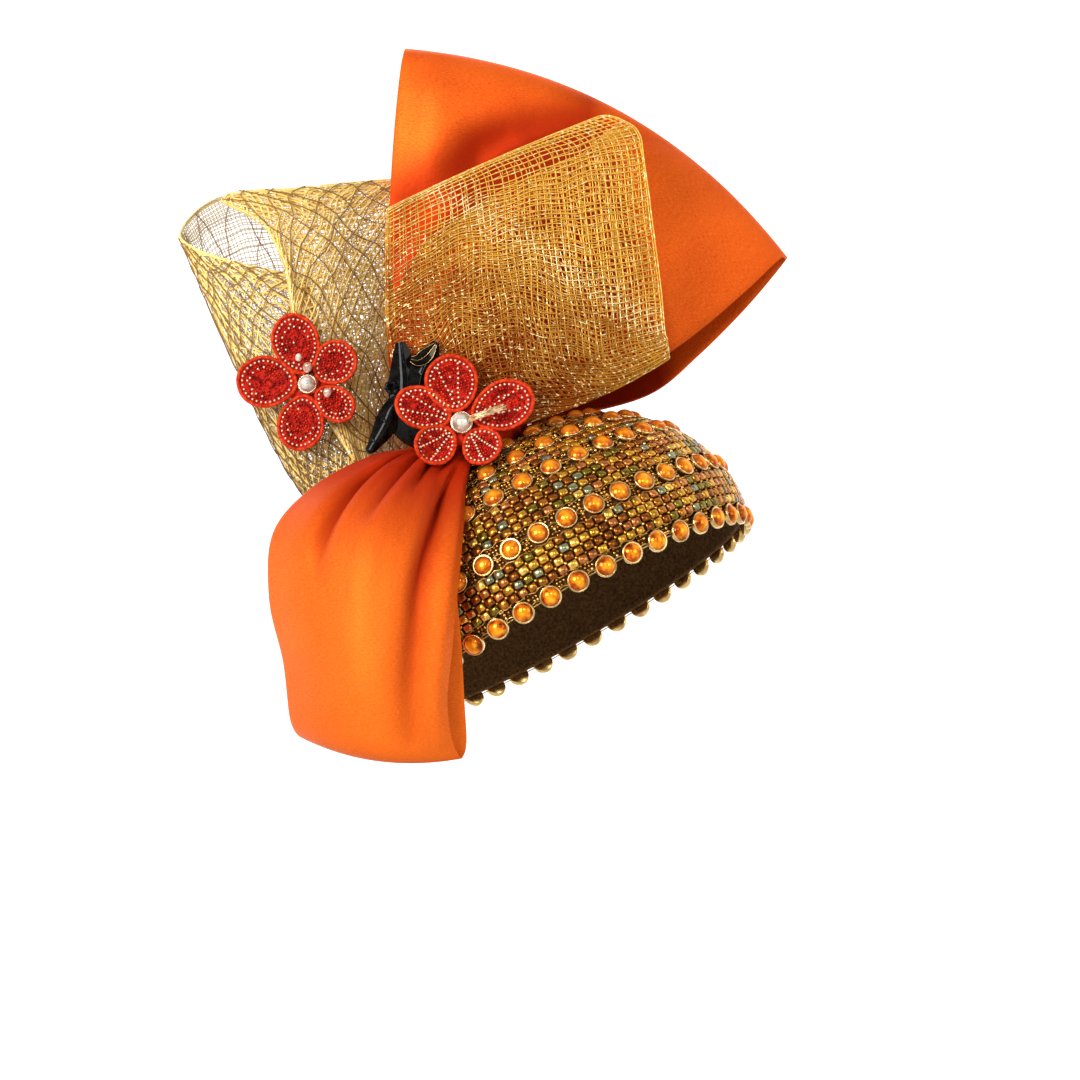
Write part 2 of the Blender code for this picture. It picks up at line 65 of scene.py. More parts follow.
bpy.ops.object.camera_add(
    location=(CAMERA_SIDE, -CAMERA_DISTANCE, CAMERA_HEIGHT), rotation=(pi / 2, 0, 0))
camera = bpy.context.object
camera.data.sensor_width = SENSOR_WIDTH
camera.data.lens = SENSOR_WIDTH * CAMERA_DISTANCE / (PHOTO_WIDTH * PIXEL)
bpy.context.scene.camera = camera
bpy.context.scene.view_settings.view_transform = "Standard"
print("lens", round(camera.data.lens, 1), "mm")

# %% [markdown]
# ## Small tools
# These helpers are used all through the lesson. Some select one object, lay a grid primitive on
# points or give a sheet its wall, and one ties a finished piece to the hat's one body.

# %% Selection, sheets and finishing
def pick_only(obj):
    bpy.ops.object.select_all(action="DESELECT")
    obj.select_set(True)
    bpy.context.view_layer.objects.active = obj


def apply_modifiers(obj):
    pick_only(obj)
    for modifier in list(obj.modifiers):
        bpy.ops.object.modifier_apply(modifier=modifier.name)


def start_edit(action="SELECT"):
    bpy.ops.object.mode_set(mode="EDIT")
    bpy.ops.mesh.select_all(action=action)


def end_edit(outwards=False):
    if outwards:
        bpy.ops.mesh.select_all(action="SELECT")
        bpy.ops.mesh.normals_make_consistent(inside=False)
    bpy.ops.object.mode_set(mode="OBJECT")


def add_disc(vertices, radius, height=0.0):
    bpy.ops.object.select_all(action="DESELECT")
    bpy.ops.mesh.primitive_circle_add(
        vertices=vertices, radius=radius, fill_type="NGON", location=(0, 0, height))
    return bpy.context.object


def raise_ring(rise, widen=1):
    """Extrude what is selected upwards, and widen it by a factor."""
    bpy.ops.mesh.extrude_region_move(TRANSFORM_OT_translate={"value": (0, 0, rise)})
    if widen != 1:
        bpy.ops.transform.resize(value=(widen, widen, 1))


def add_wall(obj, thickness, offset, rim_width=0.0, segments=2, inner_material=0):
    """Give a sheet its wall and, with a rim width, softened edges."""
    wall = obj.modifiers.new("wall", "SOLIDIFY")
    wall.thickness, wall.offset, wall.material_offset = thickness, offset, inner_material
    if rim_width:
        rim = obj.modifiers.new("rim", "BEVEL")
        rim.width, rim.segments = rim_width, segments
        rim.limit_method, rim.angle_limit = "ANGLE", radians(60)
    apply_modifiers(obj)
    bpy.ops.object.shade_smooth()


def lay_grid(points, folds=None):
    """A grid primitive laid on an array of points; folds are numbers kept with the points, which
    the satin turns into painted crease shade.
    """
    steps, across = points.shape[0] - 1, points.shape[1] - 1
    bpy.ops.mesh.primitive_grid_add(x_subdivisions=across, y_subdivisions=steps, size=1)
    sheet = bpy.context.object
    spots = [(round((vertex.co.y + 0.5) * steps), round((vertex.co.x + 0.5) * across))
             for vertex in sheet.data.vertices]
    for vertex, spot in zip(sheet.data.vertices, spots):
        vertex.co = points[spot]
    if folds is not None:
        fold = sheet.data.attributes.new("fold", "FLOAT", "POINT")
        fold.data.foreach_set("value", [folds[spot] for spot in spots])
    return sheet


def add_ball(segments, rings, radius=1.0):
    bpy.ops.mesh.primitive_uv_sphere_add(segments=segments, ring_count=rings, radius=radius)
    return bpy.context.object


def finish_piece(obj, name, materials, stands_for=()):
    """Name a finished piece, give it its materials and tie it to the hat."""
    obj.name = obj.data.name = name
    for material in materials:
        obj.data.materials.append(material)
    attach(obj, "root")
    if stands_for:
        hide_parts(*stands_for)
    print(name, sum(len(polygon.vertices) - 2 for polygon in obj.data.polygons), "triangles")


def scatter(random, amount):
    """Three random numbers up to an amount either way."""
    return [random.uniform(-amount, amount) for _ in range(3)]


def table(kind, text, unit=1000):
    """Rows with named columns, one for each line of text, whose numbers are parts of a unit."""
    lines = [line.split() for line in text.splitlines() if line.strip()]
    return [kind(*(float(word) / unit for word in words)) for words in lines]


# %% [markdown]
# A finish is a small graph of shader nodes. Each helper here adds one node, fills its inputs and
# gives back the output that the next one needs. The last two make a whole finish.

# %% Shader nodes
def plug(tree, socket, value):
    """Link a socket to another one, or set it to a plain value."""
    if isinstance(value, bpy.types.NodeSocket):
        tree.links.new(value, socket)
    else:
        socket.default_value = value


def add_node(tree, kind, settings=(), values=(), **inputs):
    """A shader node: values fill its first inputs in order, and inputs fill others by name."""
    node = tree.nodes.new(kind)
    for name, value in dict(settings).items():
        setattr(node, name, value)
    for socket, value in zip(node.inputs, values):
        plug(tree, socket, value)
    for name, value in inputs.items():
        plug(tree, node.inputs[name.replace("_", " ")], value)
    return node


def places(tree, kind="Object"):
    return add_node(tree, "ShaderNodeTexCoord").outputs[kind]


def along_direction(tree, direction):
    """How far a point lies along a direction, in metres."""
    settings = {"operation": "DOT_PRODUCT"}
    return add_node(
        tree, "ShaderNodeVectorMath", settings, (places(tree), direction)).outputs["Value"]


def add_math(tree, operation, *values):
    return add_node(tree, "ShaderNodeMath", {"operation": operation}, values).outputs[0]


def attribute(tree, name):
    return add_node(tree, "ShaderNodeAttribute", {"attribute_name": name}).outputs["Fac"]


def rescale(tree, value, *limits, kind="LINEAR"):
    """A value taken from one range, low and high, to another."""
    settings = {"interpolation_type": kind}
    return add_node(tree, "ShaderNodeMapRange", settings, (value, *limits)).outputs["Result"]


def add_noise(tree, scale, detail=2.0, roughness=0.5, vector=None):
    return add_node(
        tree, "ShaderNodeTexNoise", Vector=vector or places(tree), Scale=scale, Detail=detail,
        Roughness=roughness).outputs["Fac"]


def add_bump(tree, height, strength, distance, **normal):
    return add_node(
        tree, "ShaderNodeBump", Strength=strength, Distance=distance, Height=height,
        **normal).outputs["Normal"]


def add_mix(tree, factor, first, colour):
    mix = add_node(tree, "ShaderNodeMix", {"data_type": "RGBA"}, Factor=factor)
    plug(tree, mix.inputs[6], first)
    mix.inputs[7].default_value = (*colour, 1.0)
    return mix.outputs[2]


def add_ramp(tree, factor, stops, interpolation="LINEAR"):
    """A colour ramp. Each stop is its place and then its colour."""
    ramp = add_node(tree, "ShaderNodeValToRGB", Fac=factor)
    ramp.color_ramp.interpolation = interpolation
    elements = ramp.color_ramp.elements
    while len(elements) < len(stops):
        elements.new(1.0)
    for element, (place, *colour) in zip(elements, stops):
        element.position = place
        element.color = (*colour, 1.0)
    return ramp.outputs["Color"]


def new_material(name, colour, **sockets):
    """A Principled material. Words in the sockets' names are joined by underscores."""
    material = bpy.data.materials.new(name)
    material.use_nodes = True
    shader = material.node_tree.nodes["Principled BSDF"]
    for socket, value in dict(sockets, Base_Color=(*colour, 1.0)).items():
        shader.inputs[socket.replace("_", " ")].default_value = value
    return material, material.node_tree, shader


def paint(tree, shader, factor, stops, bump=()):
    """Colour a surface by a ramp over a factor, which can also raise it."""
    plug(tree, shader.inputs["Base Color"], add_ramp(tree, factor, stops))
    if bump:
        plug(tree, shader.inputs["Normal"], add_bump(tree, factor, *bump))


def mottled(name, colour, scale, *stops, detail=2.0, bump=(), **sockets):
    """A material whose colour runs through the stops with a fine noise."""
    material, tree, shader = new_material(name, colour, **sockets)
    paint(tree, shader, add_noise(tree, scale, detail), stops, bump)
    return material


def tinted(name, colour, *stops, **sockets):
    """A material that gives each copy one of the stops' colours, by the copy's own tint."""
    material, tree, shader = new_material(name, colour, **sockets)
    tint = add_ramp(tree, attribute(tree, "tint"), stops, "CONSTANT")
    plug(tree, shader.inputs["Base Color"], tint)
    return material


# %% [markdown]
# ## The stage
# The hat is worn in the picture, so it keeps the tilt that the head gives it, over a plain pale
# floor. A round floor with a curved wall gives every view the same pale backdrop. A flat plane
# would be simpler, but it would end in a hard horizon behind the hat.

# %% Model the floor with its curved wall
FLOOR_LEVEL = -0.32
FLOOR_RADIUS = 3.4
COVE_RADIUS = 1.2
COVE_STEPS = 12
WALL_HEIGHT = 2.6
FRONT_GLOW, BACK_GLOW = 0.10, 0.95

floor = add_disc(96, FLOOR_RADIUS, FLOOR_LEVEL)
start_edit("DESELECT")
bpy.ops.mesh.select_mode(type="EDGE")
bpy.ops.mesh.select_non_manifold()
reach = FLOOR_RADIUS
for step in range(1, COVE_STEPS + 1):
    before, now = (pi / 2 * k / COVE_STEPS for k in (step - 1, step))
    rise = COVE_RADIUS * (cos(before) - cos(now))
    widen = (FLOOR_RADIUS + COVE_RADIUS * sin(now)) / reach
    reach *= widen
    raise_ring(rise, widen)
raise_ring(WALL_HEIGHT)
end_edit()
bpy.ops.object.shade_smooth()
floor.name = "floor"
floor_material, tree, shader = new_material(
    "pale floor", (0.42, 0.42, 0.42), Roughness=0.9, Emission_Color=(1.0, 1.0, 1.0, 1.0))
depth = add_node(tree, "ShaderNodeSeparateXYZ", Vector=places(tree)).outputs["Y"]
glow = rescale(tree, depth, -0.1, 0.8, FRONT_GLOW, BACK_GLOW)
plug(tree, shader.inputs["Emission Strength"], glow)
floor_material.cycles.emission_sampling = "NONE"
floor.data.materials.append(floor_material)

# %% [markdown]
# ## The light
# Satin shows its shine only where something bright is mirrored in it, so the light comes from
# wide soft panels: a key high on the left, a weaker one on the right, one over the camera that
# puts a spark in every stone and bead, and one behind to part the hat from the backdrop.

# %% Hang the soft panels
Panel = namedtuple("Panel", "place size power")
HAT_MIDDLE = Vector((-0.04, 0.0, 0.09))
PANELS = [
    Panel((-1.15, -1.6, 0.55), 0.9, 40.0),
    Panel((1.4, -1.2, 0.5), 0.9, 7.0),
    Panel((0.15, -1.8, 0.75), 0.35, 5.0),
    Panel((-0.6, 1.5, 1.1), 1.0, 8.0),
]
for panel in PANELS:
    aim = HAT_MIDDLE - Vector(panel.place)
    bpy.ops.object.light_add(
        type="AREA", location=panel.place, rotation=aim.to_track_quat("-Z", "Y").to_euler())
    light = bpy.context.object
    light.data.size = panel.size
    light.data.energy = panel.power

world = bpy.data.worlds.new("pale studio")
world.use_nodes = True
world.node_tree.nodes["Background"].inputs["Color"].default_value = (1.0, 0.99, 0.97, 1.0)
world.node_tree.nodes["Background"].inputs["Strength"].default_value = 0.20
bpy.context.scene.world = world

# %% [markdown]
# ## Reading the folds
# A satin or net loop is a sheet that goes up one side and down the other. A short table gives a
# few rows across it, and a smooth curve through the rows fills the rest. The same tables made the
# solids, so every sheet here lies where its solid does. The lines are dense enough for soft
# folds, which a modifier on a coarse cage would round away.

# %% Fold tables and curves
# Each line of a table has its row's columns in the order of their names, in millimetres.
FoldRow = namedtuple("FoldRow", "left_x left_z right_x right_z arch left_y middle_y right_y")
ConeRow = namedtuple("ConeRow", "shoulder_x shoulder_z shoulder_y mouth_x mouth_z mouth_y")
FAN_ROWS = table(FoldRow, """
    -64 66 -22 86.5 1 -3 -7 -3
    -72 85 -11 92 1 -2 -6 -2
    -82 117 21 104 5 -2 -12 0
    -82 162 52 124 8 2 -13 4
    -79 211 76 144 13 8 -6 10
    -76 244 91 158 19 14 6 16
    -74 252 95 160 21 20 16 21
    -76 248 94 157 20 26 27 27
    -79 213 78 138 18 30 38 31
    -83 164 57 117 13 32 44 34
    -82 119 36 100 7 28 40 32
    -72 85 6 91 1 18 28 24
    -64 66 -20 87 1 14 21 18
""")
SIDE_ROWS = table(FoldRow, """
    -60 74 -40 74 1 -37 -39 -38
    -67 73 -43 71 1 -44 -48 -47
    -86 69.5 -46 57 3 -54 -66 -64
    -110 56.2 -47 36 4 -62 -90 -84
    -126.5 37 -49 12 3 -66 -102 -94
    -128 9 -51 -11 1 -68 -106 -98
    -122 -17 -53 -32 -2 -70 -107 -99
    -119 -41 -51 -48 -5.5 -71 -104 -98
    -115.5 -48.5 -47 -56 -4.5 -66 -98 -94
    -117 -44 -45 -50 -6 -59 -91 -89
    -121 -19 -46 -30 -6 -55 -86 -88
    -123 4 -47 -10 -1 -52 -83 -88
    -116 28 -49 13 1 -52 -78 -86
    -97 47 -50 36 1 -50 -66 -79
    -75 58 -52 54 2 -45 -53 -62
    -62 61 -47 68 1 -36 -38 -40
""")
ROLL_ROWS = table(FoldRow, """
    -62 74 -30 84 1 -14 -16 -14
    -74 98 3 106 2 -12 -17 -12
    -78 126 20 143 2 -15 -21 -14
    -80 152 16 180 2 -19 -21 -17
    -80 171 9 206 1 -22 -20 -20
    -80 177 11 217 1 -28 -26 -26
    -80 174 21 215 3 -34 -33 -31
    -80 165 29 206 3 -38 -39 -36
    -80 143 33 174 3 -41 -46 -39
    -79 122 37 143 -1 -43 -50 -40
    -74 100 39 122 -5 -45 -50 -40
    -61 84 41 112 -9 -45 -47 -38
    -56 77 -32 81 0 -41 -41 -40
""")
CONE_ROWS = table(ConeRow, """
    -100 66 -9 -125 154 -1
    -95 68 -6 -155 184 6
    -87 73 6 -121 191 22
    -80 78 30 -82 197 44
    -71 80 40 -67 199 56
    -75 78 48 -78 198 64
    -94 70 40 -121 193 52
    -110 62 26 -158 188 34
    -119 56 14 -174 172 18
    -115 56 4 -167 163 8
    -104 60 -1 -146 156 6
    -92 68 2 -118 150 11
""")
CONE_GATHER = Vector((-0.0711, 0.012, 0.0606))
CONE_GATHER_SCALE = 0.36


def smooth_between(before, start, end, after, share):
    square, cube = share * share, share ** 3
    return 0.5 * (
        2 * start
        + (end - before) * share
        + (2 * before - 5 * start + 4 * end - after) * square
        + (3 * start - before - 3 * end + after) * cube
    )


def along(points, place):
    """The point at a place, from 0 to 1, on a smooth curve through the points."""
    spot = place * (len(points) - 1)
    index = min(int(spot), len(points) - 2)
    before = points[max(index - 1, 0)]
    after = points[min(index + 2, len(points) - 1)]
    return smooth_between(before, points[index], points[index + 1], after, spot - index)


def fold_point(row, share):
    """A point on a fold row, a share of the way from its left edge to its right."""
    left = Vector((row.left_x, 0, row.left_z))
    chord = Vector((row.right_x, 0, row.right_z)) - left
    rise = Vector((-chord.z, 0, chord.x)).normalized() * row.arch
    point = left + chord * share + rise * 4 * share * (1 - share)
    point.y = (
        row.left_y * (1 - share) * (1 - 2 * share)
        + row.middle_y * 4 * share * (1 - share)
        + row.right_y * share * (2 * share - 1)
    )
    return point


def fold_grid(rows, across, steps):
    """Points of a loop as an array: steps + 1 places by across + 1 shares."""
    columns = [[fold_point(row, k / across) for row in rows] for k in range(across + 1)]
    return np.array([
        [along(column, step / steps) for column in columns] for step in range(steps + 1)
    ])


def cone_grid(rows, across, steps):
    """Points of the net cone as an array: steps + 1 places by across + 1 shares."""
    shoulders = [Vector((row.shoulder_x, row.shoulder_y, row.shoulder_z)) for row in rows]
    mouths = [Vector((row.mouth_x, row.mouth_y, row.mouth_z)) for row in rows]
    middle = sum(shoulders, Vector()) / len(shoulders)
    ends = [CONE_GATHER + (point - middle) * CONE_GATHER_SCALE for point in shoulders]
    lines = []
    for k in range(across + 1):
        line = [along(ring, k / across) for ring in (ends, shoulders, mouths)]
        lines.append([along(line, step / steps) for step in range(steps + 1)])
    return np.array(lines).swapaxes(0, 1)


def lengths_along(points):
    """How far each point lies from the first, along the line of points."""
    return np.concatenate(((0,), np.cumsum(np.linalg.norm(np.diff(points, axis=0), axis=1))))


def normals_of(grid):
    """Unit normals of a grid of points, from its neighbours along both directions."""
    across = np.gradient(grid, axis=1)
    steps = np.gradient(grid, axis=0)
    normal = np.cross(across, steps)
    return normal / np.maximum(np.linalg.norm(normal, axis=2, keepdims=True), 1e-12)


def area_of(grid):
    """The area of a grid of points, in square metres."""
    across = grid[:-1, 1:] - grid[:-1, :-1]
    steps = grid[1:, :-1] - grid[:-1, :-1]
    return float(np.linalg.norm(np.cross(across, steps), axis=2).sum())


# %% [markdown]
# ## Satin
# Satin is a smooth cloth whose long surface threads mirror light in their own colour. A shader
# with a tinted highlight and some sheen comes close. Faint streaks along the threads, in colour
# and in bump, keep it from looking like plastic. They follow the cloth's own map, not the room.

# %% Mix the orange satin
# A Shade paints shade on the satin past a straight line.
Shade = namedtuple("Shade", "direction start end colour")
# the painted shade that the satin takes in its crease valleys
CREASE_SHADE = (0.36, 0.016, 0.0015)


def satin_material(
        name, light, dark, cells, roughness=0.46, metallic=0.5, shades=(), specular=0.35):
    """Satin with streaks of so many cells along and across, painted shade past straight lines, and
    painted crease shade where the piece's own fold attribute says that a crease lies."""
    material, tree, shader = new_material(
        name, light, Roughness=roughness, Metallic=metallic, Specular_IOR_Level=specular,
        Specular_Tint=(1.0, 0.50, 0.16, 1.0), Sheen_Weight=0.03, Sheen_Roughness=0.35,
        Sheen_Tint=(1.0, 0.55, 0.25, 1.0))
    threads = add_node(
        tree, "ShaderNodeMapping", Vector=places(tree, "UV"), Scale=(*cells, 1.0))
    fibre = add_noise(tree, 1.0, 3.0, 0.65, threads.outputs["Vector"])
    cloud = add_noise(tree, 30.0, 4.0, 0.6)
    both = add_math(tree, "MULTIPLY_ADD", cloud, 0.30, fibre)
    colour = add_ramp(tree, both, ((0.46, *dark), (0.84, *light)))
    # painted shade: past each shade's line the satin turns towards the first shade's darker colour
    depth = None
    for shade in shades:
        line = along_direction(tree, shade.direction)
        part = rescale(tree, line, shade.start, shade.end, 0.0, 1.0, kind="SMOOTHSTEP")
        depth = add_math(tree, "MINIMUM", depth, part) if depth else part
    if depth:
        colour = add_mix(tree, depth, colour, shades[0].colour)
    # painted crease shade: the colour darkens where the fold attribute is high
    colour = add_mix(tree, attribute(tree, "fold"), colour, CREASE_SHADE)
    plug(tree, shader.inputs["Base Color"], colour)
    weave = add_bump(tree, fibre, 0.45, 0.0004)
    drape = add_bump(tree, add_noise(tree, 95.0), 0.25, 0.0012, Normal=weave)
    plug(tree, shader.inputs["Normal"], drape)
    return material


# Darker colours that are painted shade, on the fan and on the side loop.
FAN_SHADE_COLOUR = (0.38, 0.024, 0.002)
SIDE_SHADE_COLOUR = (0.42, 0.016, 0.0015)
SHADE_BESIDE_ROLL = [
    # painted shade: darker below the roll's upper edge and left of its right edge, where the roll
    # shades the fan
    Shade((0.4024, 0.0, -0.9155), -0.224, -0.198, FAN_SHADE_COLOUR),
    Shade((-0.9615, 0.0, -0.2747), -0.080, -0.066, FAN_SHADE_COLOUR)]
# painted shade: the side loop and the knot turn darker towards the top, near the knot
SHADE_NEAR_KNOT = [Shade((0.15, 0.0, 0.99), 0.000, 0.060, SIDE_SHADE_COLOUR)]

# The fan's satin carries painted shade beside the net roll.
orange_satin = satin_material(
    "orange satin", (0.92, 0.150, 0.013), (0.60, 0.062, 0.005), (110.0, 900.0),
    shades=SHADE_BESIDE_ROLL)
side_satin = satin_material(
    "deep orange satin", (0.88, 0.165, 0.015), (0.66, 0.092, 0.007), (58.0, 750.0), 0.50, 0.25,
    SHADE_NEAR_KNOT, 0.2)
# The wrong side of satin is duller, and its dark red here is also painted shade for the loops'
# insides.
wrong_side_and_shade = satin_material(
    "wrong side of the satin", (0.40, 0.010, 0.001), (0.24, 0.004, 0.0006), (90.0, 800.0), 0.62,
    0.1, specular=0.1)

# %% [markdown]
# ## The satin loops
# Each loop is one strip of satin, doubled over and gathered at the knot. A grid primitive is laid
# on the fold table, so its own map follows the cloth. Creases are added as soft valleys along
# short lines, deepest at the knot. A cloth simulation could drape the strip, but it would not
# give these very folds.

# %% Lay a grid on the fold table and press creases into it
Crease = namedtuple("Crease", "share_from place_from share_to place_to width depth")
SATIN_WALL = 0.0011
CREASE_GROWS = 0.10          # the share of the strip in which a crease grows to its full depth
FULL_CREASE_SHADE = 0.0062         # a crease this deep takes the full painted crease shade
PLEATS = 3


def pleats(share, place, count, depth):
    """The gathers at the knot: full there and gone at the fold."""
    towards_knot = np.abs(1 - 2 * place)
    fade = towards_knot ** 2.2 * (1 - towards_knot ** 8)
    calm = np.clip(share * 9, 0.15, 1.0)
    return depth * fade * calm * np.cos(tau * count * share)


def crease_depth(share, place, creases, width, length):
    """How far the creases push the cloth in, with distances measured on the flat strip."""
    total = np.zeros_like(share)
    for crease in creases:
        start = np.array((crease.share_from * width, crease.place_from * length))
        run = np.array((crease.share_to * width, crease.place_to * length)) - start
        x, y = share * width - start[0], place * length - start[1]
        way = np.clip((x * run[0] + y * run[1]) / (run @ run), 0, 1)
        away = np.hypot(x - way * run[0], y - way * run[1])
        total += crease.depth * np.exp(-(away / crease.width) ** 2) * (1 - 0.8 * way ** 2)
    return total


def satin_loop(rows, across, steps, depth, creases, width, length):
    """A grid primitive laid on the loop, and the array of its points."""
    grid = fold_grid(rows, across, steps)
    place, share = np.meshgrid(
        np.linspace(0, 1, steps + 1), np.linspace(0, 1, across + 1), indexing="ij")
    side = np.where(place < 0.5, 1.0, -1.0)
    grid[:, :, 1] += side * pleats(share, place, PLEATS, depth)
    fine = pleats(share + 0.07 * np.sin(9 * place), place, 3 * PLEATS + 2, depth * 0.35)
    grid[:, :, 1] += side * fine * np.abs(1 - 2 * place) ** 2
    pressed = crease_depth(share, place, creases, width, length)
    pressed *= np.clip(np.minimum(place, 1 - place) / CREASE_GROWS, 0.15, 1)
    inwards = -normals_of(grid)
    if inwards[steps // 4, :, 1].mean() < 0:
        inwards = -inwards          # the loop hangs down, so its grid runs the other way
    grid += inwards * pressed[:, :, None]
    # the fold attribute carries how much painted crease shade each point gets
    loop = lay_grid(grid, np.clip(pressed / FULL_CREASE_SHADE, 0, 1))
    add_wall(loop, SATIN_WALL, 0, SATIN_WALL * 0.4, inner_material=1)
    return loop, grid


# Widths and depths are in metres here, beside shares and places of the strip.
FAN_CREASES = table(Crease, """
    -0.02 0.2 0.3 0.37 0.015 0.0075
    0.22 0.33 0.62 0.45 0.011 0.006
    0.1 0.03 0.3 0.3 0.006 0.002
    0.74 0.2 0.8 0.44 0.016 -0.003
    0.98 0.1 0.99 0.42 0.006 -0.0014
    0.09 0.38 0.12 0.3 0.01 -0.002
""", 1)
SIDE_CREASES = table(Crease, """
    0.22 0.05 0.21 0.17 0.0026 0.0066
    0.21 0.17 0.27 0.29 0.004 0.0068
    0.31 0.16 0.32 0.24 0.0028 -0.0016
    0.4 0.03 0.43 0.22 0.0026 0.0086
    0.47 0.04 0.52 0.19 0.0026 -0.0024
    0.56 0.04 0.6 0.17 0.0026 0.0064
    0.7 0.04 0.71 0.14 0.0026 0.0046
    0.86 0.12 0.79 0.3 0.004 0.002
    0.84 0.16 0.78 0.45 0.0064 0.0056
    0.94 0.1 0.94 0.47 0.0034 -0.0026
    0.3 0.96 0.55 0.7 0.006 0.0024
    0.62 0.95 0.72 0.68 0.005 0.002
""", 1)
fan, fan_points = satin_loop(FAN_ROWS, 70, 140, 0.0022, FAN_CREASES, 0.19, 0.36)
finish_piece(fan, "fan_satin", [orange_satin, wrong_side_and_shade], ["satin_fan"])
side_loop, side_points = satin_loop(SIDE_ROWS, 68, 150, 0.0034, SIDE_CREASES, 0.085, 0.30)
finish_piece(
    side_loop, "side_loop_satin", [side_satin, wrong_side_and_shade], ["satin_side_loop"])
print("fan", round(area_of(fan_points), 4), "side loop", round(area_of(side_points), 4), "m2")

# %% [markdown]
# ## The knot
# The strips end in a flattened knot on top of the cap. It is a ball whose surface is pulled into
# gathers that run from front to back. Points that would dip into the cap are pushed back to just
# above it, which is what the cloth does when it is sewn down.

# %% Model the knot from a ball
CAP_LEAN_LEFT, CAP_LEAN_BACK = radians(29.8), radians(9.2)
CAP_RADIUS = 0.0887
CAP_WIDEST_HEIGHT = 0.0154
CAP_RISE = 0.0679
CAP_WALL = 0.0025
GAP = 0.0003
KNOT_CENTRE = Vector((-0.046, -0.012, 0.073))
KNOT_RADII = (0.030, 0.0365, 0.016)
CAP_FRAME = Euler((-CAP_LEAN_BACK, -CAP_LEAN_LEFT, 0)).to_matrix().to_4x4()

KNOT_PLACE = Matrix.LocRotScale(KNOT_CENTRE, Euler((0, -radians(33), 0)), KNOT_RADII)
KNOT_GATHERS, GATHER_DEPTH = 13, 0.035
knot = add_ball(96, 48)
to_cap = CAP_FRAME.inverted()
for vertex in knot.data.vertices:
    spot = vertex.co.copy()
    wave = cos(KNOT_GATHERS * spot.x * pi + 2 * spot.y)
    gather = 1 + GATHER_DEPTH * wave * (1 - 0.6 * abs(spot.y))
    point = to_cap @ (KNOT_PLACE @ (spot * (gather - GATHER_DEPTH)))
    reach = sqrt(
        (point.x ** 2 + point.y ** 2) / (CAP_RADIUS + GAP) ** 2
        + ((point.z - CAP_WIDEST_HEIGHT) / (CAP_RISE + GAP)) ** 2)
    if reach < 1:
        lift = Vector((0, 0, CAP_WIDEST_HEIGHT))
        point = lift + (point - lift) / reach
    vertex.co = CAP_FRAME @ point
bpy.ops.object.shade_smooth()
finish_piece(knot, "knot_satin", [side_satin], ["knot"])

# %% [markdown]
# ## The cap
# The cap is a stiff cloth dome. A ball primitive is stretched to the dome's half axes, cut off at
# the rim, given a wall inwards and a softened edge. Its finish is dark cloth, which shows only as
# thin gaps between the beads, with a brown lining inside.

# %% Model the cloth dome
def cap_seat(height, angle, offset=0.0):
    """A frame on the cap: Z out of the cloth, X round the cap, at a height above the rim."""
    level = (height - CAP_WIDEST_HEIGHT) / CAP_RISE
    radius = CAP_RADIUS * sqrt(1 - level * level)
    out = Vector((radius / CAP_RADIUS ** 2, 0, level / CAP_RISE)).normalized()
    round_cap = Vector((0, 1, 0))
    up = out.cross(round_cap)
    local = Matrix((round_cap, up, out)).transposed().to_4x4()
    local.translation = Vector((radius, 0, height)) + out * offset
    return CAP_FRAME @ Matrix.Rotation(angle - pi / 2, 4, "Z") @ local


cap = add_ball(96, 64)
cap.scale = (CAP_RADIUS, CAP_RADIUS, CAP_RISE)
cap.location = (0, 0, CAP_WIDEST_HEIGHT)
bpy.ops.object.transform_apply(location=True, rotation=True, scale=True)
start_edit()
bpy.ops.mesh.bisect(plane_co=(0, 0, 0), plane_no=(0, 0, 1), clear_inner=True)
end_edit()
add_wall(cap, CAP_WALL, -1, 0.0007, 3, 1)
cap.data.transform(CAP_FRAME)

cap_cloth = mottled(
    "dark cap cloth", (0.09, 0.045, 0.015), 900.0, (0.35, 0.045, 0.020, 0.006),
    (0.70, 0.150, 0.070, 0.018), bump=(0.5, 0.0004), Roughness=0.9, Specular_IOR_Level=0.15)
lining, tree, shader = new_material(
    "brown lining", (0.09, 0.04, 0.018), Roughness=0.55, Specular_IOR_Level=0.2)
ribs = add_node(
    tree, "ShaderNodeTexWave", {"bands_direction": "DIAGONAL"}, Vector=places(tree),
    Scale=130.0, Distortion=0.6, Detail=1.0).outputs["Fac"]
paint(tree, shader, ribs, ((0.2, 0.060, 0.026, 0.010), (0.8, 0.085, 0.040, 0.017)), (0.3, 0.0003))
finish_piece(cap, "cap_cloth", [cap_cloth, lining], ["cap_shell"])

# %% [markdown]
# ## Copies by the hundred
# The cap carries thousands of beads and stones. Each kind is modelled once, and one mesh then
# holds a copy at every seat. A number that differs from copy to copy is stored with the points,
# so one material can give each bead its own colour. Separate objects would look the same and be
# slower to work with.

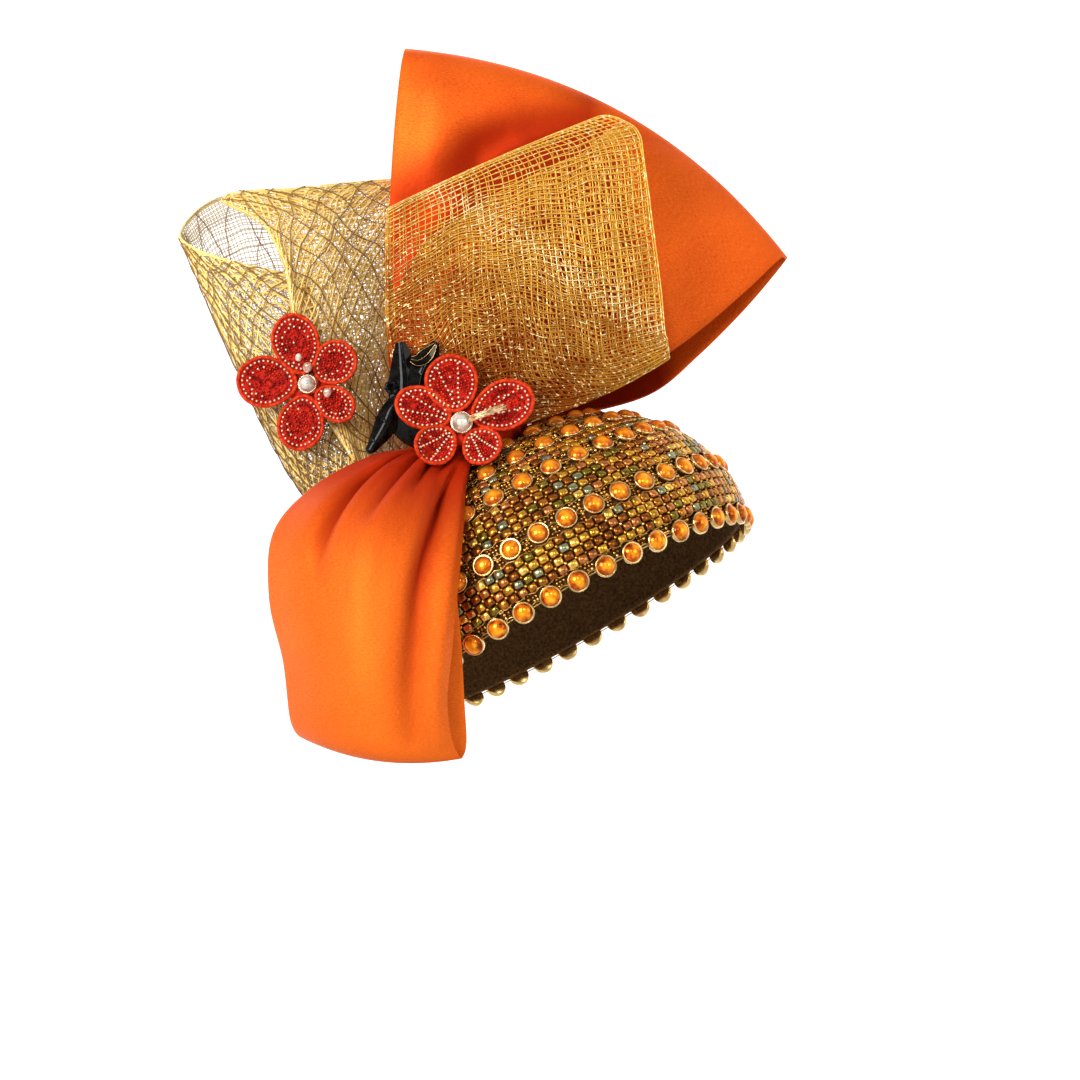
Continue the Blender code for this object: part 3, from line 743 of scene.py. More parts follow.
# %% Stamp a model onto many seats
def stamp(model, seats, tints=None, shades=()):
    """One object with a copy of the model at every seat; the model itself is removed."""
    mesh = model.data
    tints = tints or [0.0] * len(seats)
    points = np.array([vertex.co for vertex in mesh.vertices])
    faces = [list(polygon.vertices) for polygon in mesh.polygons]
    slots = [polygon.material_index for polygon in mesh.polygons]
    frames = np.array([[list(line) for line in seat] for seat in seats])
    moved = np.einsum("nij,vj->nvi", frames[:, :3, :3], points) + frames[:, None, :3, 3]
    copies = bpy.data.meshes.new("copies")
    copies.from_pydata(
        moved.reshape(-1, 3), [],
        [[vertex + k * len(points) for vertex in face] for k in range(len(seats))
         for face in faces])
    copies.polygons.foreach_set("material_index", slots * len(seats))
    copies.polygons.foreach_set("use_smooth", [True] * len(copies.polygons))
    tint = copies.attributes.new("tint", "FLOAT", "POINT")
    tint.data.foreach_set("value", np.repeat(tints, len(points)))
    if shades:
        shade = copies.attributes.new("shade", "FLOAT", "POINT")
        shade.data.foreach_set("value", np.tile(shades, len(seats)))
    stamped = bpy.data.objects.new("copies", copies)
    bpy.context.collection.objects.link(stamped)
    bpy.data.objects.remove(model)
    bpy.data.meshes.remove(mesh)
    return stamped


def turned(profile, steps):
    """A turned solid: a disc that is extruded and resized from ring to ring."""
    radius, height = profile[0]
    solid = add_disc(steps, radius)
    solid.data.transform(Matrix.Translation((0, 0, height)))
    start_edit()
    for next_radius, next_height in profile[1:]:
        raise_ring(next_height - height, next_radius / radius)
        radius, height = next_radius, next_height
    end_edit(outwards=True)
    return solid


# %% [markdown]
# ## Set stones
# Each stone is a low glass dome in a thin gilt cup. A turned profile gives both: the cup's wall
# with its rolled lip, and the dome inside it. The lower edge is hidden against the cloth. Five
# rows run round the cap, and the two widest match the chains of the solids.

# %% Model one stone and set the rows
SETTING_RADIUS = 0.00475
SETTING_STAND_OFF = GAP + SETTING_RADIUS ** 2 / (2 * CAP_RISE)
StoneRow = namedtuple("StoneRow", "height count first_angle size")
STONE_ROWS = [
    StoneRow(0.0005, 42, radians(-27.9), 1.0),
    StoneRow(0.0251, 42, radians(-22.3), 1.0),
    StoneRow(0.0484, 36, radians(-12.6), 1.0),
    StoneRow(0.0608, 30, radians(-25.0), 1.0),
    StoneRow(0.0700, 25, radians(-1.5), 0.94),
]
STONE_NODES = ["stone_row_rim", "stone_row_low", "stone_row_high", "stone_row_crown"]
STONE_PROFILE = [
    (0.00430, 0.0), (0.00475, 0.0005), (0.00478, 0.0019), (0.00465, 0.0023), (0.00430, 0.0024),
    (0.00405, 0.0020), (0.00396, 0.0024), (0.00360, 0.0030), (0.00300, 0.0036),
    (0.00210, 0.0042), (0.00110, 0.0045), (0.00030, 0.0046),
]
GLASS_RADIUS = 0.00405

gilt = mottled(
    "gilt", (0.85, 0.58, 0.22), 260.0, (0.30, 0.52, 0.30, 0.08), (0.60, 0.88, 0.62, 0.25),
    Metallic=1.0, Roughness=0.24)
# Painted light: the amber runs from a bright yellow middle to a dark red rim, a painted highlight
# and painted shade, and its emission is a painted glow.
amber, tree, shader = new_material(
    "amber glass", (0.90, 0.34, 0.02), Roughness=0.16, Metallic=0.45, Coat_Weight=0.15,
    Coat_Roughness=0.04, Specular_IOR_Level=0.4, Specular_Tint=(1.0, 0.60, 0.20, 1.0),
    Emission_Strength=0.10)
ring = add_math(tree, "MULTIPLY_ADD", attribute(tree, "shade"), 0.42, add_noise(tree, 330.0))
body = add_ramp(tree, ring, (
    (0.44, 1.00, 0.50, 0.020), (0.70, 0.88, 0.27, 0.006), (0.88, 0.46, 0.060, 0.003),
    (0.99, 0.15, 0.012, 0.001)))
salmon = add_mix(tree, attribute(tree, "tint"), body, (0.80, 0.22, 0.018))
for name in ("Base Color", "Emission Color"):
    plug(tree, shader.inputs[name], salmon)

random = Random(5)
for number, row in enumerate(STONE_ROWS):
    stone = turned(STONE_PROFILE, 20)
    for polygon in stone.data.polygons:
        centre = polygon.center
        polygon.material_index = centre.xy.length < GLASS_RADIUS and centre.z > 0.0019
    # the distance from the middle, which the amber turns into a painted highlight and painted
    # shade
    shades = [min(1.0, vertex.co.xy.length / GLASS_RADIUS) for vertex in stone.data.vertices]
    seats = []
    for k in range(row.count):
        seat = cap_seat(row.height, row.first_angle + tau * k / row.count, SETTING_STAND_OFF)
        seats.append(
            seat @ Matrix.Rotation(random.uniform(0, tau), 4, "Z") @ Matrix.Scale(row.size, 4))
    tints = [random.uniform(0.0, 0.20) + 0.13 * number for _ in seats]
    finish_piece(
        stamp(stone, seats, tints, shades), "stones_%d" % (number + 1), [gilt, amber],
        STONE_NODES[number:number + 1])

# %% [markdown]
# ## Beads
# Small glass cube beads fill the bands between the stone rows in straight rings. One cube with
# bevelled edges is copied to every place, and each copy gets its own tint: gold, bronze, olive,
# copper or grey. Each is tipped a little, as beads on thread are, so they catch the light in turn.

# %% Fill the bands with cube beads
BEAD_WIDE = 0.0041
BEAD_TALL = 0.0034
BEAD_DEEP = 0.0028
BEAD_PITCH = 0.00470
RING_PITCH = 0.00385
BEAD_TIP = 0.12               # radians
BEAD_SHIFT = 0.04             # along the ring, as a share of the pitch
BEAD_SIZES = (0.92, 1.04)
FEW_RINGS = 6                 # a band with fewer rings has its beads in straight columns
KNOT_LIFT = 0.0020            # how far out of the cap the thread's knots between cubes lie
CUBE_ROOM, SEED_ROOM, WIRE_ROOM = 0.0028, 0.0015, 0.0012      # kept clear of knot and loops

arc_angles = np.linspace(acos(-CAP_WIDEST_HEIGHT / CAP_RISE), 0, 2000)
arc_points = np.stack((CAP_RADIUS * np.sin(arc_angles),
                       CAP_WIDEST_HEIGHT + CAP_RISE * np.cos(arc_angles)), axis=1)
arc_lengths = lengths_along(arc_points)


def arc_at(height):
    """The length of cloth from the rim up to a height."""
    return float(np.interp(height, arc_points[:, 1], arc_lengths))


def height_at(arc):
    return float(np.interp(arc, arc_lengths, arc_points[:, 1]))


def round_at(height):
    """The length of a ring round the cap at a height."""
    level = (height - CAP_WIDEST_HEIGHT) / CAP_RISE
    return tau * CAP_RADIUS * sqrt(max(0.0, 1 - level * level))


def loop_tree(grid):
    """A searchable surface of a sheet's points, to keep beads clear of it."""
    lines, columns = grid.shape[:2]
    faces = [
        (i * columns + j, i * columns + j + 1, (i + 1) * columns + j + 1, (i + 1) * columns + j)
        for i in range(lines - 1) for j in range(columns - 1)]
    return BVHTree.FromPolygons([Vector(point) for point in grid.reshape(-1, 3)], faces)


side_tree, fan_tree = loop_tree(side_points), loop_tree(fan_points)


def is_free(point, room):
    """Whether a bead has room: outside the knot and clear of the loops."""
    if (KNOT_PLACE.inverted() @ point).length < 1 + room / min(KNOT_RADII):
        return False
    return all(tree.find_nearest(point, room)[0] is None for tree in (side_tree, fan_tree))


edges = [arc_at(row.height) for row in STONE_ROWS]
bands = [(lower + SETTING_RADIUS, upper - SETTING_RADIUS)
         for lower, upper in zip(edges, edges[1:])]
bands.append((edges[-1] + SETTING_RADIUS, arc_lengths[-1] - 0.002))

bpy.ops.mesh.primitive_cube_add(size=1)
bead = bpy.context.object
bead.scale = (BEAD_WIDE, BEAD_TALL, BEAD_DEEP)
bpy.ops.object.transform_apply(location=False, rotation=False, scale=True)
rounding = bead.modifiers.new("rounding", "BEVEL")
rounding.width, rounding.segments = 0.00055, 1
apply_modifiers(bead)

random = Random(11)
seats, tints, knots = [], [], []
for low, high in bands:
    rings = max(1, round((high - low) / RING_PITCH))
    pitch = (high - low) / rings
    middle = height_at((low + high) / 2)
    aligned = round(round_at(middle) / BEAD_PITCH)
    start = random.uniform(0, tau)
    for ring in range(rings):
        height = height_at(low + (ring + 0.5) * pitch)
        count = aligned if rings < FEW_RINGS else max(5, round(round_at(height) / BEAD_PITCH))
        for k in range(count):
            turn = start + tau * (k + random.uniform(-BEAD_SHIFT, BEAD_SHIFT)) / count
            seat = cap_seat(height, turn, BEAD_DEEP / 2 + 0.0002)
            if not is_free(seat.translation, CUBE_ROOM):
                continue
            tip = Euler(scatter(random, BEAD_TIP)).to_matrix().to_4x4()
            grow = random.uniform(*BEAD_SIZES) * min(1.0, pitch / RING_PITCH + 0.04)
            seats.append(seat @ tip @ Matrix.Scale(grow, 4))
            tints.append(random.random())
            if ring < rings - 1:
                above = height_at(low + (ring + 1.0) * pitch)
                knots.append(cap_seat(above, turn + pi / count, KNOT_LIFT))

glass_beads, tree, shader = new_material(
    "glass beads", (0.4, 0.25, 0.08), Metallic=0.8, Roughness=0.22, Specular_IOR_Level=0.4)
colour = add_ramp(tree, attribute(tree, "tint"), (
    (0.0, 0.62, 0.30, 0.030), (0.22, 0.44, 0.16, 0.016), (0.40, 0.26, 0.075, 0.008),
    (0.56, 0.22, 0.150, 0.016), (0.70, 0.26, 0.25, 0.13), (0.77, 0.50, 0.17, 0.040),
    (0.90, 0.80, 0.46, 0.080)), "CONSTANT")
bright = rescale(tree, add_noise(tree, 420.0), 0.3, 0.7, 0.55, 1.45)
toned = add_node(tree, "ShaderNodeHueSaturation", Color=colour, Value=bright)
plug(tree, shader.inputs["Base Color"], toned.outputs["Color"])
print("cube beads", len(seats), "seed beads", len(knots))
finish_piece(stamp(bead, seats, tints), "cube_beads", [glass_beads], ["cap_shell"])

# %% [markdown]
# Tiny seed beads sit where four cubes meet, and fill the dark gaps with sparks of gold.

# %% Put a seed bead at every crossing
SEED_RADIUS = 0.00078
SEED_PITCH = 0.00170
SEED_RINGS = (-0.0046, -0.0031, -0.0016, 0.0, 0.0016, 0.0031, 0.0046)

random = Random(13)
for row, arc in zip(STONE_ROWS, edges):
    stones_here = [
        cap_seat(row.height, row.first_angle + tau * k / row.count).translation
        for k in range(row.count)]
    for ring in SEED_RINGS:
        if arc + ring < 0.0008:
            continue
        height = height_at(arc + ring)
        count = round(round_at(height) / SEED_PITCH)
        for k in range(count):
            turn = tau * (k + random.uniform(-0.25, 0.25)) / count
            seat = cap_seat(height, turn, random.uniform(0.0006, 0.0014))
            nearest = min((seat.translation - stone).length for stone in stones_here)
            if nearest > SETTING_RADIUS * row.size + SEED_RADIUS * 0.9:
                knots.append(seat @ Matrix.Scale(random.uniform(0.75, 1.1), 4))
kept = [seat for seat in knots if is_free(seat.translation, SEED_ROOM)]
print("seed beads", len(kept))
seeds = stamp(add_ball(6, 4, SEED_RADIUS), kept, [random.random() for _ in kept])
seed_gold = tinted(
    "gold seed beads", (0.8, 0.5, 0.15), (0.0, 0.78, 0.42, 0.07), (0.45, 0.45, 0.17, 0.02),
    (0.72, 0.26, 0.10, 0.015), (0.90, 0.95, 0.70, 0.28), Metallic=0.9, Roughness=0.2)
finish_piece(seeds, "seed_beads", [seed_gold], ["cap_shell"])

# %% [markdown]
# ## Threads
# Net and wire are both made of fine threads. A curve object takes one line for each thread and
# gives them all a thickness, then becomes a mesh. A grid of cut-out holes, as the solids have,
# could not be this fine.

# %% Turn lines into threads
def threads(lines, radius, sides=4):
    """One mesh of round threads along lines of points; a line is an array of points."""
    bpy.ops.object.select_all(action="DESELECT")
    bpy.ops.curve.primitive_bezier_curve_add()
    curve = bpy.context.object
    curve.data.splines.clear()
    for line in lines:
        spline = curve.data.splines.new("POLY")
        spline.points.add(len(line) - 1)
        spline.points.foreach_set("co", np.insert(np.array(line), 3, 1.0, axis=1).ravel())
    curve.data.bevel_depth = radius
    curve.data.bevel_resolution = max(0, sides // 2 - 2)
    curve.data.use_fill_caps = True
    curve.data.resolution_u = 1
    pick_only(curve)
    bpy.ops.object.convert(target="MESH")
    thread = bpy.context.object
    start_edit()
    bpy.ops.mesh.remove_doubles(threshold=0.00001)
    end_edit(outwards=True)
    bpy.ops.object.shade_smooth()
    return thread


# %% [markdown]
# Gilt wire runs above and below each row of stones in small waves, and links one stone to the
# next.

# %% Run the gilt wire
WIRE_RADIUS = 0.00026
WIRE_STEPS = 277
WIRE_AWAY = 0.0050            # from the middle of the stones
WIRE_WAVE = 0.0006
WIRE_LIFT, LINK_LIFT = 0.0024, 0.0016
LINK_REACH = 0.2              # half a link's length, against the stones' pitch
LINK_ARC = 0.0010
wire_gold = mottled(
    "gold wire", (0.55, 0.32, 0.09), 420.0, (0.35, 0.30, 0.14, 0.03), (0.65, 0.72, 0.45, 0.14),
    Metallic=1.0, Roughness=0.3)
lines = []
for row, arc in zip(STONE_ROWS, edges):
    for side in (-1, 1):
        here = arc + side * WIRE_AWAY
        if here < 0.001:
            continue
        run = []
        for turn in (tau * k / WIRE_STEPS for k in range(WIRE_STEPS + 1)):
            height = height_at(here + WIRE_WAVE * sin(row.count * 2 * turn))
            point = cap_seat(height, turn, WIRE_LIFT).translation
            if is_free(point, WIRE_ROOM):
                run.append(point)
                continue
            lines.append(run)
            run = []
        lines.append(run)
    for k in range(row.count):
        turn = row.first_angle + tau * (k + 0.5) / row.count
        reach = tau / row.count * LINK_REACH
        for lift in (-LINK_ARC, LINK_ARC):
            link = [cap_seat(max(0.0002, height_at(max(arc + lift * cos(a), 0.0002))),
                             turn + a / pi * 2 * reach, LINK_LIFT).translation
                    for a in np.linspace(-pi / 2, pi / 2, 7)]
            if all(is_free(point, WIRE_ROOM) for point in link):
                lines.append(link)
wire = threads([line for line in lines if len(line) > 2], WIRE_RADIUS)
finish_piece(wire, "gilt_wire", [wire_gold])

# %% [markdown]
# ## Net as lines on a sheet
# The net is stiff mesh cloth. Its threads follow two directions of the sheet, a few millimetres
# apart, and wander a little where the net was scrunched at the knot. Each thread is read off the
# same fold table as its solid, so the net keeps the loop's form.

# %% Read lines off a sheet
def on_grid(grid, place, share):
    """Points of a grid at places and shares; a share beyond 0 or 1 runs on past the edge."""
    lines, columns = grid.shape[:2]
    row = np.clip(place, 0, 1) * (lines - 1)
    column = share * (columns - 1)
    i = np.clip(np.floor(row).astype(int), 0, lines - 2)
    j = np.clip(np.floor(column).astype(int), 0, columns - 2)
    a, b = (row - i)[..., None], (column - j)[..., None]
    near = (1 - b) * grid[i, j] + b * grid[i, j + 1]
    far = (1 - b) * grid[i + 1, j] + b * grid[i + 1, j + 1]
    return (1 - a) * near + a * far


def waves_of(seed):
    """A smooth random function of place and share, about 1 at its highest."""
    random = Random(seed)
    terms = [(random.uniform(1.5, 9), random.uniform(1.5, 9), random.uniform(0, tau),
              random.choice((-1, 1))) for _ in range(6)]

    def value(place, share):
        return sum(np.sin(a * place * 2 + sign * b * share * 2 + phase)
                   for a, b, phase, sign in terms) / 3
    return value


def on_share(grid, places, share):
    """Points of a grid along one share."""
    return on_grid(grid, places, np.full_like(places, share))


def on_place(grid, place, shares):
    """Points of a grid along one place."""
    return on_grid(grid, np.full_like(shares, place), shares)


def even_places(grid, spacing, shares, first=0.0, last=1.0):
    """Places whose lines lie no further apart than a spacing along any of the shares."""
    fine = np.linspace(first, last, 400)
    gaps = np.zeros(len(fine) - 1)
    for share in shares:
        points = on_share(grid, fine, share)
        gaps = np.maximum(gaps, np.linalg.norm(np.diff(points, axis=0), axis=1))
    run = np.concatenate(((0,), np.cumsum(gaps)))
    count = max(2, round(run[-1] / spacing))
    return np.interp(np.linspace(0, run[-1], count + 1), run, fine)


# %% [markdown]
# ## The net roll
# The gold net roll is open like lace. Two more layers lie on its front, each woven at a slant of
# its own, which makes the lower part look dense. The cut edge at the lower right is frayed, so
# some threads stick out past it.

# %% Weave the net roll
ROLL_SPACING = 0.0030
ROLL_THREAD = 0.00028
ROLL_LENGTH = 0.27           # metres from the knot over the fold and back
ROLL_WIDTH = 0.117
LAYER_FROM, LAYER_TO = 0.5, 0.99              # the places that the front layers may cover
STRAY = 0.18                  # how far a thread may leave its place, as a share of the spacing
CRUMPLE = (0.05, 0.42), (0.86, 0.17)          # middle and reach of the crumple: share, place
PLACE_WANDER, SHARE_WANDER = 0.012, 0.014
SAG = 0.050                   # how far the crossing threads of the front hang through
FRONT_FROM = ((0.0, 0.70), (0.16, 0.63), (0.44, 0.600), (0.78, 0.575), (1.0, 0.50))
ROLL_EDGE, ROLL_CORNER = 0.0412, 0.112        # x of the right edge at its lowest, and z there
CUT_FROM = 0.9167             # the place where the cut lower edge begins

roll_points = fold_grid(ROLL_ROWS, 90, 200)
edge_lean = 0.13 * np.maximum(roll_points[:, :, 2] - ROLL_CORNER, 0)
roll_points[:, :, 0] = np.minimum(roll_points[:, :, 0], ROLL_EDGE - edge_lean)
roll_normals = normals_of(roll_points)


def roll_line(place, share, layer, shift, wander, seed):
    """A thread on the roll. It wanders most in the crumple, and the front's threads sag."""
    bend, sway = waves_of(seed), waves_of(seed + 50)
    (share_middle, share_reach), (place_middle, place_reach) = CRUMPLE
    away = (share - share_middle) / share_reach, (place - place_middle) / place_reach
    scrunch = np.exp(-(away[0] ** 2 + away[1] ** 2))
    calm = np.clip(share * 6, 0, 1) * np.clip((1.02 - share) * 6, 0, 1)
    amount = wander * (0.25 + 0.8 * scrunch)
    arc = SAG * np.sin(pi * np.clip(share / 0.75, 0, 1)) * np.exp(-((place - 0.84) / 0.16) ** 2)
    moved_place = place - arc + PLACE_WANDER * amount * bend(place * 3, share * 2)
    moved_share = share + SHARE_WANDER * amount * sway(place * 3, share * 2) * calm
    points = on_grid(roll_points, moved_place, moved_share)
    normals = on_grid(roll_normals, moved_place, np.clip(moved_share, 0, 1))
    return points + normals * (layer + shift)


def roll_family(first, last, spacing, layer, wander, seed):
    """Threads both ways over part of the roll, up and down it and across it."""
    random = Random(seed)
    lines = []
    count = round(ROLL_WIDTH / spacing)
    for k in range(count + 1):
        share = min(1.0, max(0.0, (k + random.uniform(-STRAY, STRAY)) / count))
        place = np.linspace(first, last, max(8, round(150 * (last - first))))
        lines.append(roll_line(
            place, np.full_like(place, share), layer, ROLL_THREAD * 0.8, wander, seed))
    for place in even_places(roll_points, spacing, (0.0, 0.5, 1.0), first, last):
        end = 1.0
        if place > CUT_FROM:
            end = random.uniform(0.985, 1.03) if place > CUT_FROM + 0.03 else 0.985
        share = np.linspace(0.0, end, 46)
        level = place + random.uniform(-0.15, 0.15) * spacing / 0.25
        lines.append(roll_line(
            np.clip(np.full_like(share, level), 0, 1), share, layer, -ROLL_THREAD * 0.8, wander,
            seed))
    return lines


def slanted_family(spacing, share_slant, place_slant, layer, wander, seed):
    """Threads of a front layer, which lies at a slant and starts at the layers' upper edge."""
    random = Random(seed)
    lines = []

    def keep(place, share, shift):
        edge = np.interp(share, *zip(*FRONT_FROM))
        inside = (share >= 0) & (share <= 1) & (place >= edge) & (place <= LAYER_TO)
        if inside.sum() > 4:
            lines.append(roll_line(place[inside], share[inside], layer, shift, wander, seed))

    steps = np.linspace(LAYER_FROM, LAYER_TO, 76)
    length = LAYER_TO - LAYER_FROM
    reach = ROLL_WIDTH * (1 + abs(share_slant))
    for k in range(round(reach / spacing) + 1):
        stray = random.uniform(-STRAY, STRAY)
        first = (k + stray) * spacing / ROLL_WIDTH - max(share_slant, 0.0)
        keep(steps, first + share_slant * (steps - LAYER_FROM) / length, ROLL_THREAD * 0.8)
    shares = np.linspace(0.0, 1.0, 46)
    rise = spacing / ROLL_LENGTH
    for k in range(round((length + place_slant) / rise) + 1):
        level = LAYER_FROM - place_slant + (k + random.uniform(-STRAY, STRAY)) * rise
        keep(level + place_slant * shares, shares, -ROLL_THREAD * 0.8)
    return lines


roll_lines = roll_family(0.38, 1.0, ROLL_SPACING, 0.0, 1.0, 21)
roll_lines += roll_family(0.0, 0.38, ROLL_SPACING * 2.5, 0.0, 1.0, 23)
roll_lines += slanted_family(ROLL_SPACING * 0.8, 0.24, 0.11, 0.0010, 1.2, 22)
edge_shares = np.linspace(0.0, 1.0, 60)
front_edge = np.interp(edge_shares, *zip(*FRONT_FROM))
roll_lines += [
    roll_line(front_edge + lower, edge_shares, 0.0010, 0.0, 1.2, 22) for lower in (0.0, 0.004)]
ground_lines = slanted_family(ROLL_SPACING * 0.8, -0.12, 0.05, 0.0004, 1.2, 25)
edge_places = np.linspace(0.02, 1.0, 150)
for share, end in ((0.0, 1.0), (1.0, 0.92)):
    hem = edge_places[edge_places <= end]
    roll_lines += [
        on_share(roll_points, hem, share + shift) for shift in (0.004, -0.004)]
roll = threads(roll_lines, ROLL_THREAD)
ground = threads(ground_lines, ROLL_THREAD)

Tone = namedtuple("Tone", "direction start end colours")
# a band of painted glint across a sheet
GlintBand = namedtuple("GlintBand", "direction middle half_width share")


def thread_material(
        name, tone, scale, glint_from, glint_colour, metallic, roughness, band=None, specular=0.5):
    """Net thread: its tone runs over the sheet with soft patches, and small pale specks, and a
    pale band if one is given, are painted glints.
    """
    material, tree, shader = new_material(
        name, tone.colours[1], Metallic=metallic, Roughness=roughness,
        Specular_IOR_Level=specular)
    run = rescale(
        tree, along_direction(tree, tone.direction), tone.start, tone.end, -0.25, 0.75)
    patchy = add_math(tree, "ADD", run, add_noise(tree, scale, 3.0, 0.6))
    body = add_ramp(tree, patchy, ((0.30, *tone.colours[0]), (0.95, *tone.colours[1])))
    height = add_noise(tree, 620.0, 1.0)
    if band:
        away = add_math(
            tree, "SUBTRACT", along_direction(tree, band.direction), band.middle)
        fade = rescale(
            tree, add_math(tree, "ABSOLUTE", away), 0.0, band.half_width, band.share, 0.0)
        height = add_math(tree, "ADD", height, fade)
    # painted glints: pale specks where the noise is high, and paler along the band
    spot = add_ramp(tree, height, ((glint_from, 0.0, 0.0, 0.0), (glint_from + 0.05, 1.0, 1.0, 1.0)))
    plug(tree, shader.inputs["Base Color"], add_mix(tree, spot, body, glint_colour))
    return material


# the band across the roll's front is a diagonal streak of painted glint
roll_thread = thread_material(
    "golden orange thread",
    Tone((0.35, 0.0, 0.94), 0.08, 0.19, ((0.32, 0.078, 0.003), (0.84, 0.47, 0.062))), 60.0, 0.60,
    (1.0, 0.82, 0.40), 0.5, 0.36, GlintBand((0.54, 0.0, 0.84), 0.1245, 0.011, 0.17), 0.2)
ground_thread = thread_material(
    "deep golden thread",
    Tone((0.35, 0.0, 0.94), 0.08, 0.19, ((0.34, 0.080, 0.003), (0.72, 0.36, 0.040))), 60.0, 0.66,
    (0.9, 0.62, 0.20), 0.4, 0.45, specular=0.2)
finish_piece(ground, "roll_ground", [ground_thread], ["net_roll"])
finish_piece(roll, "roll_net", [roll_thread], ["net_roll"])
print("roll sheet", round(area_of(roll_points), 4), "m2")

# %% [markdown]
# ## The net cone
# The pale net at the left is a cone of two unlike meshes. A fine square mesh backs it all round,
# golden at the front and pale behind. On it lies gold lacework, and dark brown threads cross over
# both in long diamonds. Near the knot many threads stop, as there is no room for all of them.

# %% Weave the net cone
LACE_SPACING = 0.0019
LACE_THREAD = 0.00048
PALE_SPACING = 0.0015
PALE_THREAD = 0.00020
BROWN_THREAD = 0.00026
GOLDEN_THREAD = 0.00030
CONE_ROUND = 0.285           # metres round the mouth
CONE_COLUMNS, CONE_LINES = 176, 80
PANEL_FROM, PANEL_TO = 1 / 11, 3 / 11
PANEL_BORDER = [              # x and z of the front panel's free edge, from the knot to the mouth
    (-0.1105, 0.1000), (-0.1190, 0.1180), (-0.1225, 0.1330), (-0.1262, 0.1560),
    (-0.1360, 0.1745), (-0.1550, 0.1840)]
BORDER_FROM, BORDER_FULL = 0.080, 0.105       # heights between which the edge takes its form

cone_points = cone_grid(CONE_ROWS, CONE_COLUMNS, CONE_LINES)
border = cone_points[:, round(PANEL_FROM * CONE_COLUMNS)].copy()
border_x, border_z = zip(*PANEL_BORDER)
sideways = np.interp(border[:, 2], border_z, border_x) - border[:, 0]
sideways *= np.clip((border[:, 2] - BORDER_FROM) / (BORDER_FULL - BORDER_FROM), 0, 1)
for column in range(CONE_COLUMNS + 1):
    fade = float(np.interp(column / CONE_COLUMNS, (0.0, PANEL_FROM, PANEL_TO), (0.0, 1.0, 0.0)))
    cone_points[:, column, 0] += sideways * fade * fade * (3 - 2 * fade)
cone_normals = normals_of(cone_points)


def cone_line(place, share, lift, wander, seed, pace=5.0, limits=(0.0, 1.0)):
    bend, sway = waves_of(seed), waves_of(seed + 50)
    moved_place = place + 0.010 * wander * bend(place * pace, share * pace * 2)
    moved_share = np.clip(
        share + 0.0035 * wander * sway(place * pace, share * pace * 2), *limits)
    points = on_grid(cone_points, moved_place, moved_share)
    normals = on_grid(cone_normals, moved_place, moved_share)
    return points + normals * lift


def cone_rounds(spacing, share_from, share_to, place_from, lift, wander, seed, place_to=1.0):
    random = Random(seed)
    lines = []
    for place in even_places(cone_points, spacing, (0.1, 0.5, 0.9), place_from, place_to):
        share = np.linspace(share_from, share_to, max(8, round(110 * (share_to - share_from))))
        level = min(1.0, max(0.0, place + random.uniform(-0.2, 0.2) * spacing / 0.13))
        lines.append(cone_line(np.full_like(share, level), share, lift, wander, seed))
    return lines


def cone_risers(spacing, share_from, share_to, lift, wander, seed, place_to=1.0, steps=46):
    random = Random(seed)
    lines = []
    count = round(CONE_ROUND * (share_to - share_from) / spacing)
    for k in range(count + 1):
        share = share_from + (share_to - share_from) * min(
            1.0, max(0.0, (k + random.uniform(-0.2, 0.2)) / count))
        start = RISER_STARTS[k % len(RISER_STARTS)]
        if start > place_to - 0.1:
            start = RISER_STARTS[0]
        place = np.linspace(start, place_to, round(steps * (place_to - start)) + 2)
        lines.append(cone_line(place, np.full_like(place, share), lift, wander, seed))
    return lines


def cone_diagonals(spacing, share_from, share_to, slope, lift, wander, seed, high=1.0, steps=50):
    """Threads that cross the cone on a slant: the share changes by the slope from end to end."""
    random = Random(seed)
    lines = []
    count = round(CONE_ROUND * (share_to - share_from + abs(slope)) / spacing)
    for k in range(count + 1):
        start = share_from - max(slope, 0.0) + (share_to - share_from + abs(slope)) * (
            k + random.uniform(-0.25, 0.25)) / count
        low = random.choice(SLANT_STARTS)
        enters, leaves = sorted((edge - start) / slope for edge in (share_from, share_to))
        bottom, top = max(low, enters), min(high, leaves)
        count_here = round(steps * (top - bottom) / (high - low))
        if count_here > 2:
            place = np.linspace(bottom, top, count_here)
            lines.append(cone_line(
                place, start + slope * place, lift, wander, seed, 2.4, (share_from, share_to)))
    return lines


LACE_SLANT = 0.56             # how far round the cone a slanting thread goes from knot to mouth
BACK_FROM, BACK_END = 0.44, 0.74              # shares between which the cone's back lies
RISER_STARTS = (0.04, 0.52, 0.34, 0.62)       # places where one riser after the other begins
SLANT_STARTS = (0.02, 0.12, 0.24, 0.34)       # places where a slanting thread may begin
STRIP_TO = 0.5                # below this place the strip at the free edge is woven too
BACK_TO = 0.58                # the lacework ends here at the back, and only the fine mesh goes on
PARTS = (
    # first and last share, how wide the lace is set, how wide the brown is set, top, seed
    (PANEL_FROM, BACK_FROM, 1.6, 0.0092, 1.0, 31), (BACK_END, 1.0, 3.0, 0.0088, 1.0, 32),
    (0.0, PANEL_FROM, 1.6, 0.0070, STRIP_TO, 33),
    (BACK_FROM, BACK_END, 2.6, 0.0110, BACK_TO, 34))
lace_lines, brown_lines = [], []
